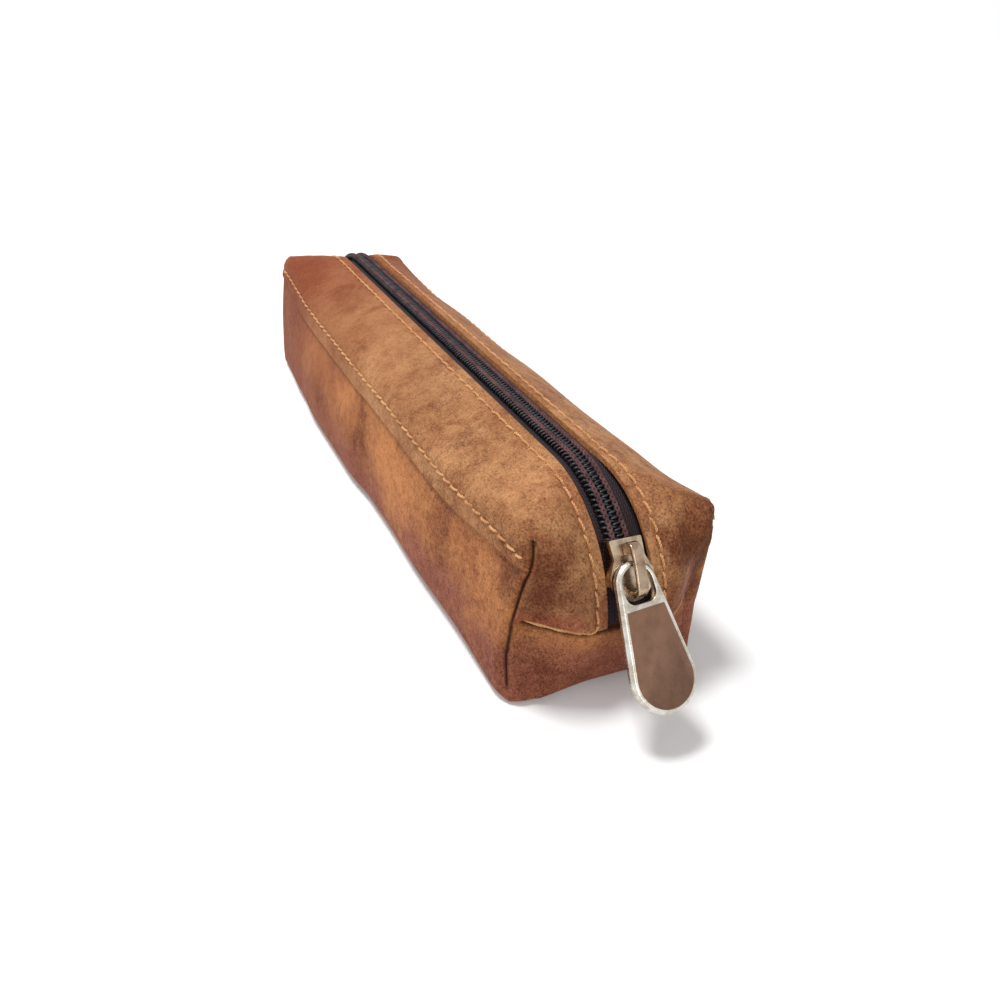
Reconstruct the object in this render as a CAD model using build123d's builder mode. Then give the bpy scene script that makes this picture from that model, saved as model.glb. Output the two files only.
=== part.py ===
"""Zipped leather pencil case: a boxed pouch with a coil zip along its ridge and down both ends."""
import os
from math import atan2, cos, degrees, radians, sin, sqrt

from build123d import *

os.makedirs("parts", exist_ok=True)

# Frame: +X along the case to the closed end of the zip, +Y across, +Z up, z = 0 on the table.
# "front" is the +X end, "left" is -Y, "right" is +Y. Lengths are in millimetres, turns in degrees.

# Leather and tape
leather = 1.4
tape_thickness = 0.6

# Side view of the body's outer face; the top panels lie one leather thickness outside it
bend_x = 74.0  # the zip turns down each end about an axis at (bend_x, bend_z)
bend_z = 13.5
tape_radius = 31.6  # outer face of the tape, from that axis
skin_radius = tape_radius + leather
foot_radius = 8.5  # rounding of the bottom edge of each end

# Cross-section of the body's outer face
side_half_width = 25.6  # where the side bulges most
side_bulge_radius = 95.0
side_bulge_z = 24.0
flat_half_width = 9.5  # the level band that carries the zip
shoulder_z = 39.6  # where the sloping top would meet the side
shoulder_radius = 5.0
hem_radius = 6.5  # rounding of the bottom edge of each side

# Plan of the ends
corner_x = 99.4
corner_y = 22.6
corner_radius = 2.9

# Seams
end_seam_z = 20.6  # where each end flap meets the turned-up bottom
lap_edge_z = 32.0  # raw edge of the top panel on the side
lap_stitch_z = 36.0
side_top_z = 38.0  # top edge of the side, under the lap
corner_seam_x = 98.0  # the side runs on to this seam, the end flap starts at it
corner_seam_y = 22.0
flap_half_width = 23.2  # edge of the end flap at the corner seam
side_end_x = 88.0  # the side stands alone beyond this, where the ridge turns down
allowance = 5.0  # leather turned in at a seam
allowance_y = 19.0
fin_depth = 7.0  # the two layers sewn together inside each corner
fin_low_z = 4.0
fin_high_z = 36.0
fin_stitch = 4.0
fin_stitch_count = 7
end_stitch_x = 102.6
end_stitches_y = (7.5, 11.5, 15.5)

# Zip tapes and chain
window_half_width = 5.3
tape_half_width = 14.5
tape_gap = 0.5  # each tape's edge, from the middle of the chain
tape_parting = 2.1  # half width of the opening between the tapes at the slider's mouth
tape_parting_turn = 64.0
tape_parting_half_length = 8.0
coil_height = 2.3
coil_pitch = 1.25
coil_wire = 0.5
coil_heel = 3.0  # outer side of each coil, from the middle of the chain
coil_reach = 0.55  # how far each tooth crosses the middle
coil_spine = 0.6
coil_rear_turn = 76.0  # how far down the rear end the chain runs
coil_front_turn = 54.5  # how far down the front end, inside the slider
stop_turn = 61.5
stop_length = 2.0
stop_inner = 2.3
stop_outer = 4.1
stop_height = 1.9

# Slider, on the front bend
slider_turn = 56.5
slider_length = 13.4
plate_radius = 34.3  # underside of the upper plate, from the bend axis
plate_thickness = 1.45
slide_gap = 0.3  # between the slider and the tape
lower_plate_thickness = 1.2
narrow_half = 4.0
waist_half = 3.8
mouth_half = 5.4
nose_half = 4.2
waist_s = -2.6  # along the slider, from its middle
shoulder_s = 0.8
nose_s = 4.3
post_widest_s = 3.0
post_end_s = 5.6
channel_half = 3.2  # the chain's way through the narrow end
mouth_channel_half = 4.7
post_half = 1.6

# Crown: the bridge that holds the puller
crown_width = 2.6
crown_rear_turn = 47.4
crown_front_turn = 65.4
crown_height = 3.7
crown_roof = 1.0
crown_rear_leg = 2.6
crown_front_leg = 1.3
crown_round = 2.0
window_round = 1.0

# Puller
pull_thickness = 1.8
pull_eye_radius = 4.8
pull_tip_radius = 7.6
pull_tip_centre = 24.6
pull_hole_radius = 3.6
pull_hole_end = 9.0
pull_hole_corner = 2.2
pull_step = 10.0
pull_bevel = 0.9
pull_bevel_depth = 0.6
pull_face_height = 0.2
pull_face_margin = 0.2
pull_band = 1.4
pull_turn = 54.5  # where its band sits under the crown
pull_pitch = 50.0  # below level, at rest
pull_twist = 5.0
pull_shift = -0.9

# Thread
stitch_pitch = 4.0
stitch_length = 3.0
thread = 0.6
thread_proud = 0.35
thread_bite = 0.15
zip_stitch_y = 8.0
zip_stitch_turn = 75.0
lap_stitch_end = 94.0
coil_thread_y = 1.9
coil_thread_height = 0.25

reach = 130.0  # larger than the case, for cutting
slider_reach = 12.0  # larger than the slider
ridge_z = bend_z + tape_radius
end_x = bend_x + tape_radius
side_centre = side_half_width - side_bulge_radius


def side_y(height, grow=0.0):
    """Distance of the side's outer face from the middle, at a height."""
    return side_centre + sqrt((side_bulge_radius + grow) ** 2 - (height - side_bulge_z) ** 2)


def cross_section(grow):
    """Outline of the body seen along X, grown outwards."""
    with BuildSketch(Plane.YZ) as section:
        with BuildLine():
            Line((0, 0), (side_y(0), 0))
            ThreePointArc((side_y(0), 0), (side_half_width, side_bulge_z), (side_y(shoulder_z), shoulder_z))
            Polyline((side_y(shoulder_z), shoulder_z), (flat_half_width, ridge_z), (0, ridge_z), (0, 0))
        make_face()
        hem = section.vertices().filter_by(lambda v: v.X > flat_half_width + 1).sort_by(Axis.Y)[0]
        fillet(hem, hem_radius)
        shoulder = section.vertices().filter_by(lambda v: v.X > flat_half_width + 1).sort_by(Axis.Y)[-1]
        fillet(shoulder, shoulder_radius)
        mirror(about=Plane.YZ)
        if grow:
            offset(amount=grow, kind=Kind.INTERSECTION, mode=Mode.REPLACE)
    return section.sketch


def side_view(grow):
    """Outline of the body seen along Y, grown outwards."""
    with BuildSketch(Plane.XZ) as view:
        with BuildLine():
            Line((0, 0), (end_x - foot_radius, 0))
            TangentArc((end_x - foot_radius, 0), (end_x, foot_radius), tangent=(1, 0))
            Line((end_x, foot_radius), (end_x, bend_z))
            TangentArc((end_x, bend_z), (bend_x, ridge_z), tangent=(0, 1))
            Polyline((bend_x, ridge_z), (0, ridge_z), (0, 0))
        make_face()
        mirror(about=Plane.YZ)
        if grow:
            offset(amount=grow, kind=Kind.INTERSECTION, mode=Mode.REPLACE)
    return view.sketch


def plan(grow):
    """Outline of the body seen from above, grown outwards: its ends bulge between the corner seams."""
    with BuildSketch() as outline:
        with BuildLine():
            Line((0, 0), (end_x, 0))
            Line((end_x, 0), (end_x, flat_half_width))
            TangentArc((end_x, flat_half_width), (corner_x, corner_y), tangent=(0, 1))
            Polyline((corner_x, corner_y), (corner_x, side_half_width), (0, side_half_width), (0, 0))
        make_face()
        corner = outline.vertices().sort_by(lambda v: v.X + v.Y)[-1]
        fillet(corner, corner_radius)
        mirror(about=Plane.YZ)
        mirror(about=Plane.XZ)
        if grow:
            offset(amount=grow, kind=Kind.INTERSECTION, mode=Mode.REPLACE)
    return outline.sketch


def envelope(grow):
    """Solid inside the body's outer face, grown outwards: three outlines extruded and intersected."""
    with BuildPart() as solid:
        extrude(cross_section(grow), amount=reach, both=True)
        extrude(side_view(grow), amount=reach, both=True, mode=Mode.INTERSECT)
        extrude(plan(grow), amount=reach, both=True, mode=Mode.INTERSECT)
    return solid.part


skin = envelope(leather)
shell = envelope(0)
lining = envelope(-leather)
tape_back = envelope(-tape_thickness)


def slab(x_low, x_high, y_low, y_high, z_low, z_high, mode=Mode.ADD):
    """Block between two corners, used for cutting."""
    centre = ((x_low + x_high) / 2, (y_low + y_high) / 2, (z_low + z_high) / 2)
    with Locations(centre):
        Box(x_high - x_low, y_high - y_low, z_high - z_low, mode=mode)


def zip_place(distance, radius):
    """Location in the side view on the zip's line: distance along it from mid length, at a radius."""
    over = max(abs(distance) - bend_x, 0)
    side = 1 if distance > 0 else -1
    turn = over / radius
    x = min(abs(distance), bend_x) + radius * sin(turn)
    return Location((side * x, bend_z + radius * cos(turn), 0), (0, 0, -side * degrees(turn)))


def bend_location(turn, radius):
    """Plane on the front bend: x along the zip towards its closed end, z out of the case."""
    angle = radians(turn)
    origin = (bend_x + radius * sin(angle), 0, bend_z + radius * cos(angle))
    return Plane(origin=origin, x_dir=(cos(angle), 0, -sin(angle)), z_dir=(sin(angle), 0, cos(angle)))


def bend_point(turn, radius, axis_x=bend_x):
    """The same place as a point of the side view, on the front bend or another."""
    return (axis_x + radius * sin(radians(turn)), bend_z + radius * cos(radians(turn)))


def export(name, part):
    part.label = name
    export_step(part, f"parts/{name}.step")


# Body panel: bottom, both sides and the lower half of each end, cut from one piece
with BuildPart() as turned_in:
    for end in (-1, 1):
        low, high = sorted((end * (end_x - allowance), end * reach))
        slab(low, high, -allowance_y, allowance_y, end_seam_z - leather, end_seam_z)
        for side in (-1, 1):
            inward = degrees(atan2(-side, -end))
            with Locations(Location((end * corner_x, side * corner_y, fin_low_z), (0, 0, inward))):
                Box(fin_depth, 2 * leather, fin_high_z - fin_low_z, align=(Align.MIN, Align.CENTER, Align.MIN))
    add(shell, mode=Mode.INTERSECT)
with BuildPart() as body_panel:
    add(shell)
    add(lining, mode=Mode.SUBTRACT)
    slab(-reach, reach, -reach, reach, side_top_z, reach, mode=Mode.SUBTRACT)
    for end in (-1, 1):
        low, high = sorted((end * side_end_x, end * reach))
        slab(low, high, -corner_seam_y, corner_seam_y, end_seam_z, reach, mode=Mode.SUBTRACT)
    add(turned_in.part)
export("body_panel", body_panel.part)


# Top panels: half the ridge each, lapped over the side and folded down both ends
with BuildPart() as flap_allowance:
    for end in (-1, 1):
        low, high = sorted((end * (end_x - allowance), end * reach))
        slab(low, high, window_half_width, allowance_y, end_seam_z, end_seam_z + leather)
    add(shell, mode=Mode.INTERSECT)
with BuildPart() as top_panel_right:
    add(skin)
    add(shell, mode=Mode.SUBTRACT)
    slab(-reach, reach, -reach, window_half_width, -reach, reach, mode=Mode.SUBTRACT)
    slab(-reach, reach, -reach, reach, -reach, end_seam_z, mode=Mode.SUBTRACT)
    slab(-corner_seam_x, corner_seam_x, -reach, reach, -reach, lap_edge_z, mode=Mode.SUBTRACT)
    slab(-reach, reach, flap_half_width, reach, -reach, lap_edge_z, mode=Mode.SUBTRACT)
    add(flap_allowance.part)
with BuildPart() as top_panel_left:
    mirror(top_panel_right.part, about=Plane.XZ)
export("top_panel_right", top_panel_right.part)
export("top_panel_left", top_panel_left.part)


# Zip tapes: sewn under the top panels, parted where the slider's post stands
with BuildPart() as zip_tape_right:
    add(shell)
    add(tape_back, mode=Mode.SUBTRACT)
    slab(-reach, reach, -reach, tape_gap, -reach, reach, mode=Mode.SUBTRACT)
    slab(-reach, reach, tape_half_width, reach, -reach, reach, mode=Mode.SUBTRACT)
    slab(-reach, reach, -reach, reach, -reach, end_seam_z, mode=Mode.SUBTRACT)
    slab(-reach, reach, window_half_width, reach, -reach, end_seam_z + leather, mode=Mode.SUBTRACT)
    with BuildSketch(bend_location(tape_parting_turn, tape_radius)):
        Ellipse(tape_parting_half_length, tape_parting)
    extrude(amount=2 * tape_thickness + 1, both=True, mode=Mode.SUBTRACT)
with BuildPart() as zip_tape_left:
    mirror(zip_tape_right.part, about=Plane.XZ)
export("zip_tape_right", zip_tape_right.part)
export("zip_tape_left", zip_tape_left.part)


def zip_band(inner, outer, rear_turn, front_turn):
    """Band along the zip's line in the side view, between two radii of the bends."""
    with BuildSketch(Plane.XZ) as band:
        with BuildLine():
            rear_out, rear_in = (bend_point(-rear_turn, r, -bend_x) for r in (outer, inner))
            front_out, front_in = (bend_point(front_turn, r) for r in (outer, inner))
            ThreePointArc(rear_out, bend_point(-rear_turn / 2, outer, -bend_x), (-bend_x, bend_z + outer))
            Line((-bend_x, bend_z + outer), (bend_x, bend_z + outer))
            ThreePointArc((bend_x, bend_z + outer), bend_point(front_turn / 2, outer), front_out)
            Line(front_out, front_in)
            ThreePointArc(front_in, bend_point(front_turn / 2, inner), (bend_x, bend_z + inner))
            Line((bend_x, bend_z + inner), (-bend_x, bend_z + inner))
            ThreePointArc((-bend_x, bend_z + inner), bend_point(-rear_turn / 2, inner, -bend_x), rear_in)
            Line(rear_in, rear_out)
        make_face()
    return band.sketch


def across(y_low, y_high):
    """Plane of the side view at y_high, from which a sketch is extruded down to y_low."""
    return Plane.XZ.offset(-max(y_low, y_high)), abs(y_high - y_low)


# Zip coils: a tooth at every turn of the wire, the two sides half a pitch apart
chain_middle = tape_radius + coil_height / 2
rear_run = -(bend_x + radians(coil_rear_turn) * chain_middle)
front_run = bend_x + radians(coil_front_turn) * chain_middle
tooth_count = int((front_run - rear_run) / coil_pitch)


def zip_coil(side):
    phase = 0.25 * (1 + side) * coil_pitch
    places = [zip_place(rear_run + phase + (i + 0.5) * coil_pitch, chain_middle) for i in range(tooth_count)]
    tooth_plane, tooth_width = across(-side * coil_reach, side * (coil_heel - coil_spine))
    with BuildPart() as teeth:
        with BuildSketch(tooth_plane):
            with Locations(*places):
                Rectangle(coil_wire, coil_height)
        extrude(amount=tooth_width)
    heel_plane, heel_width = across(side * (coil_heel - coil_spine), side * coil_heel)
    with BuildPart() as heel:
        with BuildSketch(heel_plane):
            add(zip_band(tape_radius, tape_radius + coil_height, coil_rear_turn, coil_front_turn))
        extrude(amount=heel_width)
    return Compound(children=[*heel.solids(), *teeth.solids()])


for side, word in ((-1, "left"), (1, "right")):
    export(f"zip_coil_{word}", zip_coil(side))
    plane, width = across(side * (coil_thread_y - thread / 2), side * (coil_thread_y + thread / 2))
    with BuildPart() as coil_stitching:
        with BuildSketch(plane):
            crest = tape_radius + coil_height
            add(zip_band(crest, crest + coil_thread_height, coil_rear_turn, coil_front_turn))
        extrude(amount=width)
    export(f"coil_stitching_{word}", coil_stitching.part)


# Top stops: crimped on the tapes' edges, they end the slider's travel
for side, word in ((-1, "left"), (1, "right")):
    with BuildPart() as top_stop:
        with BuildSketch(bend_location(stop_turn, tape_radius - tape_thickness / 2)):
            with Locations((0, side * (stop_inner + stop_outer) / 2)):
                Rectangle(stop_length, stop_outer - stop_inner)
        extrude(amount=stop_height + tape_thickness / 2)
    export(f"top_stop_{word}", top_stop.part)


def bend_ring(inner, outer):
    """Ring about the front bend's axis, seen from the side."""
    with BuildSketch(Plane.XZ) as ring:
        with Locations((bend_x, bend_z)):
            Circle(outer)
            Circle(inner, mode=Mode.SUBTRACT)
    return ring.sketch


def slider_outline():
    """Slider seen from above its own plate, its mouth towards the closed end."""
    with BuildSketch(bend_location(slider_turn, plate_radius)) as outline:
        rear = -slider_length / 2
        nose = slider_length / 2
        with BuildLine():
            Polyline((rear, 0), (rear, narrow_half), (waist_s, waist_half))
            Polyline((waist_s, waist_half), (shoulder_s, mouth_half), (shoulder_s + 1.8, mouth_half))
            Line((shoulder_s + 1.8, mouth_half), (nose_s, nose_half))
            ThreePointArc((nose_s, nose_half), (nose, 0), (nose_s, -nose_half))
            Line((nose_s, -nose_half), (shoulder_s + 1.8, -mouth_half))
            Polyline((shoulder_s + 1.8, -mouth_half), (shoulder_s, -mouth_half), (waist_s, -waist_half))
            Polyline((waist_s, -waist_half), (rear, -narrow_half), (rear, 0))
        make_face()
        fillet(outline.vertices(), 0.4)
    return outline.sketch


def post_outline():
    """Diamond post that parts the chain at the slider's mouth."""
    with BuildSketch(bend_location(slider_turn, plate_radius)) as outline:
        Polygon((0, 0), (post_widest_s, post_half), (post_end_s, 0), (post_widest_s, -post_half), align=None)
    return outline.sketch


def slider_channel():
    """Way of the chain through the slider, around the post that parts its two sides."""
    with BuildSketch(bend_location(slider_turn, plate_radius)) as channel:
        with BuildLine():
            Polyline((-slider_reach, 0), (-slider_reach, channel_half), (waist_s, channel_half))
            Polyline((waist_s, channel_half), (shoulder_s, mouth_channel_half), (slider_reach, mouth_channel_half))
            Polyline((slider_reach, mouth_channel_half), (slider_reach, 0), (-slider_reach, 0))
        make_face()
        mirror(about=Plane.XZ)
    return channel.sketch


# Slider body: two plates, the lips along their sides and the post between them
lower_plate_radius = tape_radius - tape_thickness - slide_gap
plate_top_radius = plate_radius + plate_thickness
with BuildPart() as slider_way:
    extrude(slider_channel(), amount=slider_reach, both=True)
    extrude(post_outline(), amount=slider_reach, both=True, mode=Mode.SUBTRACT)
    extrude(bend_ring(lower_plate_radius, plate_radius), amount=slider_reach, both=True, mode=Mode.INTERSECT)
with BuildPart() as tape_slot:
    with BuildSketch(bend_location(slider_turn, plate_radius)):
        Rectangle(2 * slider_reach, 2 * slider_reach)
    extrude(amount=slider_reach, both=True)
    extrude(post_outline(), amount=slider_reach, both=True, mode=Mode.SUBTRACT)
    slot_ring = bend_ring(lower_plate_radius, tape_radius + slide_gap)
    extrude(slot_ring, amount=slider_reach, both=True, mode=Mode.INTERSECT)
with BuildPart() as leather_room:
    for side in (-1, 1):
        plane, width = across(side * (window_half_width - slide_gap), side * 2 * window_half_width)
        with BuildSketch(plane):
            add(bend_ring(lower_plate_radius / 2, skin_radius + slide_gap))
        extrude(amount=width)
with BuildPart() as slider_body:
    extrude(slider_outline(), amount=slider_reach, both=True)
    lowest = lower_plate_radius - lower_plate_thickness
    extrude(bend_ring(lowest, plate_top_radius), amount=slider_reach, both=True, mode=Mode.INTERSECT)
    add(slider_way.part, mode=Mode.SUBTRACT)
    add(tape_slot.part, mode=Mode.SUBTRACT)
    add(leather_room.part, mode=Mode.SUBTRACT)
export("slider_body", slider_body.part)


def bend_sector(inner, outer, low_turn, high_turn, rounding):
    """Piece of a ring about the front bend's axis, its outer corners rounded, in the side view."""
    middle = (low_turn + high_turn) / 2
    with BuildSketch(Plane.XZ) as piece:
        with BuildLine():
            ThreePointArc(*(bend_point(turn, outer) for turn in (low_turn, middle, high_turn)))
            Line(bend_point(high_turn, outer), bend_point(high_turn, inner))
            ThreePointArc(*(bend_point(turn, inner) for turn in (high_turn, middle, low_turn)))
            Line(bend_point(low_turn, inner), bend_point(low_turn, outer))
        make_face()
        outer_corners = piece.vertices().sort_by(lambda v: (v.X - bend_x) ** 2 + (v.Y - bend_z) ** 2)[-2:]
        fillet(outer_corners, rounding)
    return piece.sketch


# Crown: a strip bridge on the upper plate, with a window for the puller's band
crown_top_radius = plate_top_radius + crown_height
crown_roof_radius = crown_top_radius - crown_roof
window_rear_turn = crown_rear_turn + degrees(crown_rear_leg / plate_top_radius)
window_front_turn = crown_front_turn - degrees(crown_front_leg / plate_top_radius)
with BuildPart() as slider_crown:
    with BuildSketch(Plane.XZ):
        add(bend_sector(plate_top_radius, crown_top_radius, crown_rear_turn, crown_front_turn, crown_round))
        window = bend_sector(plate_top_radius, crown_roof_radius, window_rear_turn, window_front_turn, window_round)
        add(window, mode=Mode.SUBTRACT)
    extrude(amount=crown_width / 2, both=True)
export("slider_crown", slider_crown.part)


# Puller: an eye round the crown, a neck and a flat face with bevelled edges
pull_x, pull_z = bend_point(pull_turn, plate_top_radius + (crown_height - crown_roof) / 2)
pitch = radians(pull_pitch)
pull_plane = Plane(
    origin=(pull_x, pull_shift, pull_z),
    x_dir=(cos(pitch), 0, -sin(pitch)),
    z_dir=(sin(pitch), 0, cos(pitch)),
).rotated((pull_twist, 0, 0))
eye_s = pull_eye_radius - pull_band / 2
tip_s = pull_tip_centre - pull_band / 2


def pull_outline(inset):
    with BuildSketch(pull_plane.offset(-pull_thickness / 2)) as outline:
        with Locations((eye_s, 0)):
            Circle(pull_eye_radius - inset)
        with Locations((tip_s, 0)):
            Circle(pull_tip_radius - inset)
        make_hull()
    return outline.sketch


with BuildPart() as puller:
    extrude(pull_outline(0), amount=pull_thickness)
    front = puller.faces().sort_by(Axis(pull_plane.origin, pull_plane.z_dir))[-1]
    chamfer(front.edges(), pull_bevel_depth)
    with BuildSketch(pull_plane.offset(-pull_thickness)):
        with Locations((eye_s, 0)):
            Circle(pull_hole_radius)
        low_corner = (pull_hole_end - pull_band / 2 - pull_hole_corner, pull_hole_radius - pull_hole_corner)
        with Locations(low_corner, (low_corner[0], -low_corner[1])):
            Circle(pull_hole_corner)
        make_hull()
    extrude(amount=2 * pull_thickness, mode=Mode.SUBTRACT)
    with BuildSketch(pull_plane.offset(pull_thickness / 2 - pull_face_height)) as face:
        with Locations((tip_s, 0)):
            Circle(pull_tip_radius - pull_bevel - pull_face_margin)
        with Locations((eye_s, 0)):
            Circle(pull_eye_radius - pull_bevel - pull_face_margin)
        make_hull()
        with Locations((pull_step - pull_band / 2, 0)):
            Rectangle(reach, reach, align=(Align.MAX, Align.CENTER), mode=Mode.SUBTRACT)
    extrude(amount=2 * pull_face_height)
export("puller", puller.part)


# Stitches along the zip, one row on each top panel
for side, word in ((-1, "left"), (1, "right")):
    last = bend_x + radians(zip_stitch_turn) * skin_radius
    count = int(2 * last / stitch_pitch)
    places = [zip_place(stitch_pitch * (i - (count - 1) / 2), skin_radius) for i in range(count)]
    plane, width = across(side * (zip_stitch_y - thread / 2), side * (zip_stitch_y + thread / 2))
    with BuildPart() as zip_stitching:
        with BuildSketch(plane):
            with Locations(*places):
                with Locations((0, (thread_proud - thread_bite) / 2)):
                    Rectangle(stitch_length, thread_proud + thread_bite)
        extrude(amount=width)
    export(f"zip_stitching_{word}", zip_stitching.part)


# Stitches along the laps, one row on each side
for side, word in ((-1, "left"), (1, "right")):
    y = side_y(lap_stitch_z, leather)
    outward = (0, side * (y - side_centre), lap_stitch_z - side_bulge_z)
    count = int(2 * lap_stitch_end / stitch_pitch) + 1
    places = [
        Plane(origin=(stitch_pitch * (i - (count - 1) / 2), side * y, lap_stitch_z), x_dir=(1, 0, 0), z_dir=outward)
        for i in range(count)
    ]
    with BuildPart() as lap_stitching:
        with Locations(*[place.offset(-thread_bite) for place in places]):
            Box(stitch_length, thread, thread_proud + thread_bite, align=(Align.CENTER, Align.CENTER, Align.MIN))
    export(f"lap_stitching_{word}", lap_stitching.part)


# Stitches through the turned-in leather of each end seam, above and below it
for end, word in ((-1, "rear"), (1, "front")):
    with BuildPart() as end_seam_stitching:
        for y in end_stitches_y:
            for side in (-1, 1):
                for edge, away in ((end_seam_z + leather, 1), (end_seam_z - leather, -1)):
                    with Locations((end * end_stitch_x, side * y, edge + away * (thread_proud - thread_bite) / 2)):
                        Box(thread, stitch_length, thread_proud + thread_bite)
    export(f"end_seam_stitching_{word}", end_seam_stitching.part)


# Stitches through the fin inside each corner
for end, end_word in ((-1, "rear"), (1, "front")):
    for side, side_word in ((-1, "left"), (1, "right")):
        inward = degrees(atan2(-side, -end))
        with BuildPart() as corner_seam_stitching:
            with Locations(Location((end * corner_x, side * corner_y, 0), (0, 0, inward))):
                for i in range(fin_stitch_count):
                    for face in (-1, 1):
                        spot = face * (leather + (thread_proud - thread_bite) / 2)
                        with Locations((fin_stitch, spot, fin_low_z + (i + 1) * stitch_pitch)):
                            Box(thread, thread_proud + thread_bite, stitch_length)
        export(f"corner_seam_stitching_{end_word}_{side_word}", corner_seam_stitching.part)
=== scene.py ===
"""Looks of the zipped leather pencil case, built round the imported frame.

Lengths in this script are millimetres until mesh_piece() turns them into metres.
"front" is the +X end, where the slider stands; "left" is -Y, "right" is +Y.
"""

from math import cos, hypot, pi, radians, sin, sqrt

import bmesh
import bpy
import numpy as np
from mathutils import Matrix, Vector, noise


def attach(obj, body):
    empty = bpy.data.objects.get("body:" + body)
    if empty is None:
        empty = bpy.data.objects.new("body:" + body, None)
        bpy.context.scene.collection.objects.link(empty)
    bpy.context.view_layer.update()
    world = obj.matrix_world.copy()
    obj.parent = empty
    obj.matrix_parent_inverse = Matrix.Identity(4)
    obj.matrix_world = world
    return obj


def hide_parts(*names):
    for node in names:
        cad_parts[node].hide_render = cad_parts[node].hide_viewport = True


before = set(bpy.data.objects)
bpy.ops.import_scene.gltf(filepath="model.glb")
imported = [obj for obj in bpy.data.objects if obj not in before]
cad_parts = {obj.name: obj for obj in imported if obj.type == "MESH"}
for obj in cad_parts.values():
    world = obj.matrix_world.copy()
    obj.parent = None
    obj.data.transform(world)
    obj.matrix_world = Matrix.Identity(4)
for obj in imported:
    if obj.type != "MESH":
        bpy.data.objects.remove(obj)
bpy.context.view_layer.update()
MM = 0.001
SEED = 7

rng = np.random.default_rng(SEED)
noise.seed_set(SEED)  # without a seed, this noise starts from the clock

# Leather and seams
LEATHER = 1.4
ZIP_EDGE = 5.3  # cut edge of each top panel, from the middle of the zip
ZIP_STITCH = 8.0
STITCH_VALLEY = 0.28  # how far a row of stitches draws the leather in
RIDGE = 46.5  # top of the leather beside the zip
RIDGE_HALF = 6.0  # the top slopes down outside this
SHOULDER_Y = 20.2  # where the sloping top starts to round over into the side
DROP_MIDDLE = 5.6  # how far the top has dropped there, at mid length
LAP_EDGE = 31.3  # raw edge of the top panel on the side
LAP_EDGE_RISE = 4.4  # how much higher it meets the corner seams
LAP_RISE_FROM, LAP_RISE_RUN = 55.0, 46.0  # where along the case it climbs
LAP_STITCH_IN = 4.6  # the lap's stitches, from its raw edge
LAP_STITCH_END = 2.4  # and where they meet the corner seams
SIDE_TOP = 35.5  # the side's hidden rim, under the lap
SIDE_HEM = 5.0  # radius along the bottom
FOOT = 5.5  # and under the ends
FOOT_CORNER = 3.2
TUCK = 0.6  # step with which the seams' edges run on inside
LAP_STAND = 1.1  # how far the lap's face stands off the side under it

# Ends
PATH_START = 66.0  # from here to the end seam, places on the top panel go by their share of the way
DART = 0.62  # share of the way at which the corner seam begins
BEND_PLACES = (5.3, 8.0, 14.0, 19.0, 22.0)
LIP = 0.8  # radius of the flap's edge rolled in at the end seam
SEAM_MIDDLE = 20.4  # height of the end seam
LOWER_INSET = 1.4  # how far the lower panel stays behind the flap
LOWER_LIP = 2.2  # radius of its rolled upper edge
FOOT_OUT = 103.0  # the end's face at its foot
END_LIP = 3.2  # how wide the end's leather rolls into the corner seams
FLAP_FOLD = 3.2  # fullness of the flap's edge over the corner seam

# Corner seams: place along and across, by height
SEAM_HEIGHTS = (0.0, 12.0, 22.0, 33.0, 43.0)
SEAM_ALONG = (99.2, 97.6, 98.3, 99.6, 100.2)
SEAM_ACROSS = {-1: (23.4, 24.1, 24.0, 22.8, 21.4), 1: (23.4, 21.6, 20.2, 22.2, 22.3)}
SEAM_BULGE = {-1: 1.0, 1: 0.1}  # how far its upper bend stands out along the case
SEAM_SHADE_WIDTH = 0.6  # width of the painted shade in the depth of a seam
PINCH_FROM, PINCH_RUN = 18.0, 25.0  # heights between which a pinched corner draws in

# Side
SIDE_RADIUS = 160.0
SIDE_FULL_Z = 12.0  # height at which the side is fullest
# How much wider than at the corners each side is, by place along the case
BELLIES = {
    -1: ((-99, 0.0), (-65, 2.2), (-42, 3.5), (-5, 3.4), (14, 1.9), (28, 1.7), (48, 2.0), (78, 1.2),
         (92, 1.0), (99, 1.0)),
    1: ((-99, 0.0), (-50, 2.4), (0, 2.4), (60, 1.2), (82, 1.4), (99, 1.2)),
}

# Where the shoulder of each side sags: place along, reach and depth
SAGS = {
    -1: ((-20.0, 30.0, 0.3),),
    1: ((-72.0, 30.0, 3.4), (-15.0, 26.0, 1.9), (36.0, 20.0, 0.7), (82.0, 12.0, 1.2)),
}

# Hollows of each quarter: place, size and depth
DENTS = {
    (1, -1): (((97.0, 19.5, 43.0), (4.5, 2.6, 4.0), 0.9),),
    (1, 1): (((103.0, 15.5, 37.0), (6.0, 3.2, 8.0), 2.2),),
    (-1, -1): (((98.0, 19.0, 42.0), (5.0, 3.0, 4.0), 0.4),),
    (-1, 1): (((101.0, 18.5, 33.0), (5.0, 3.5, 5.0), 0.9),),
}
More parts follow.
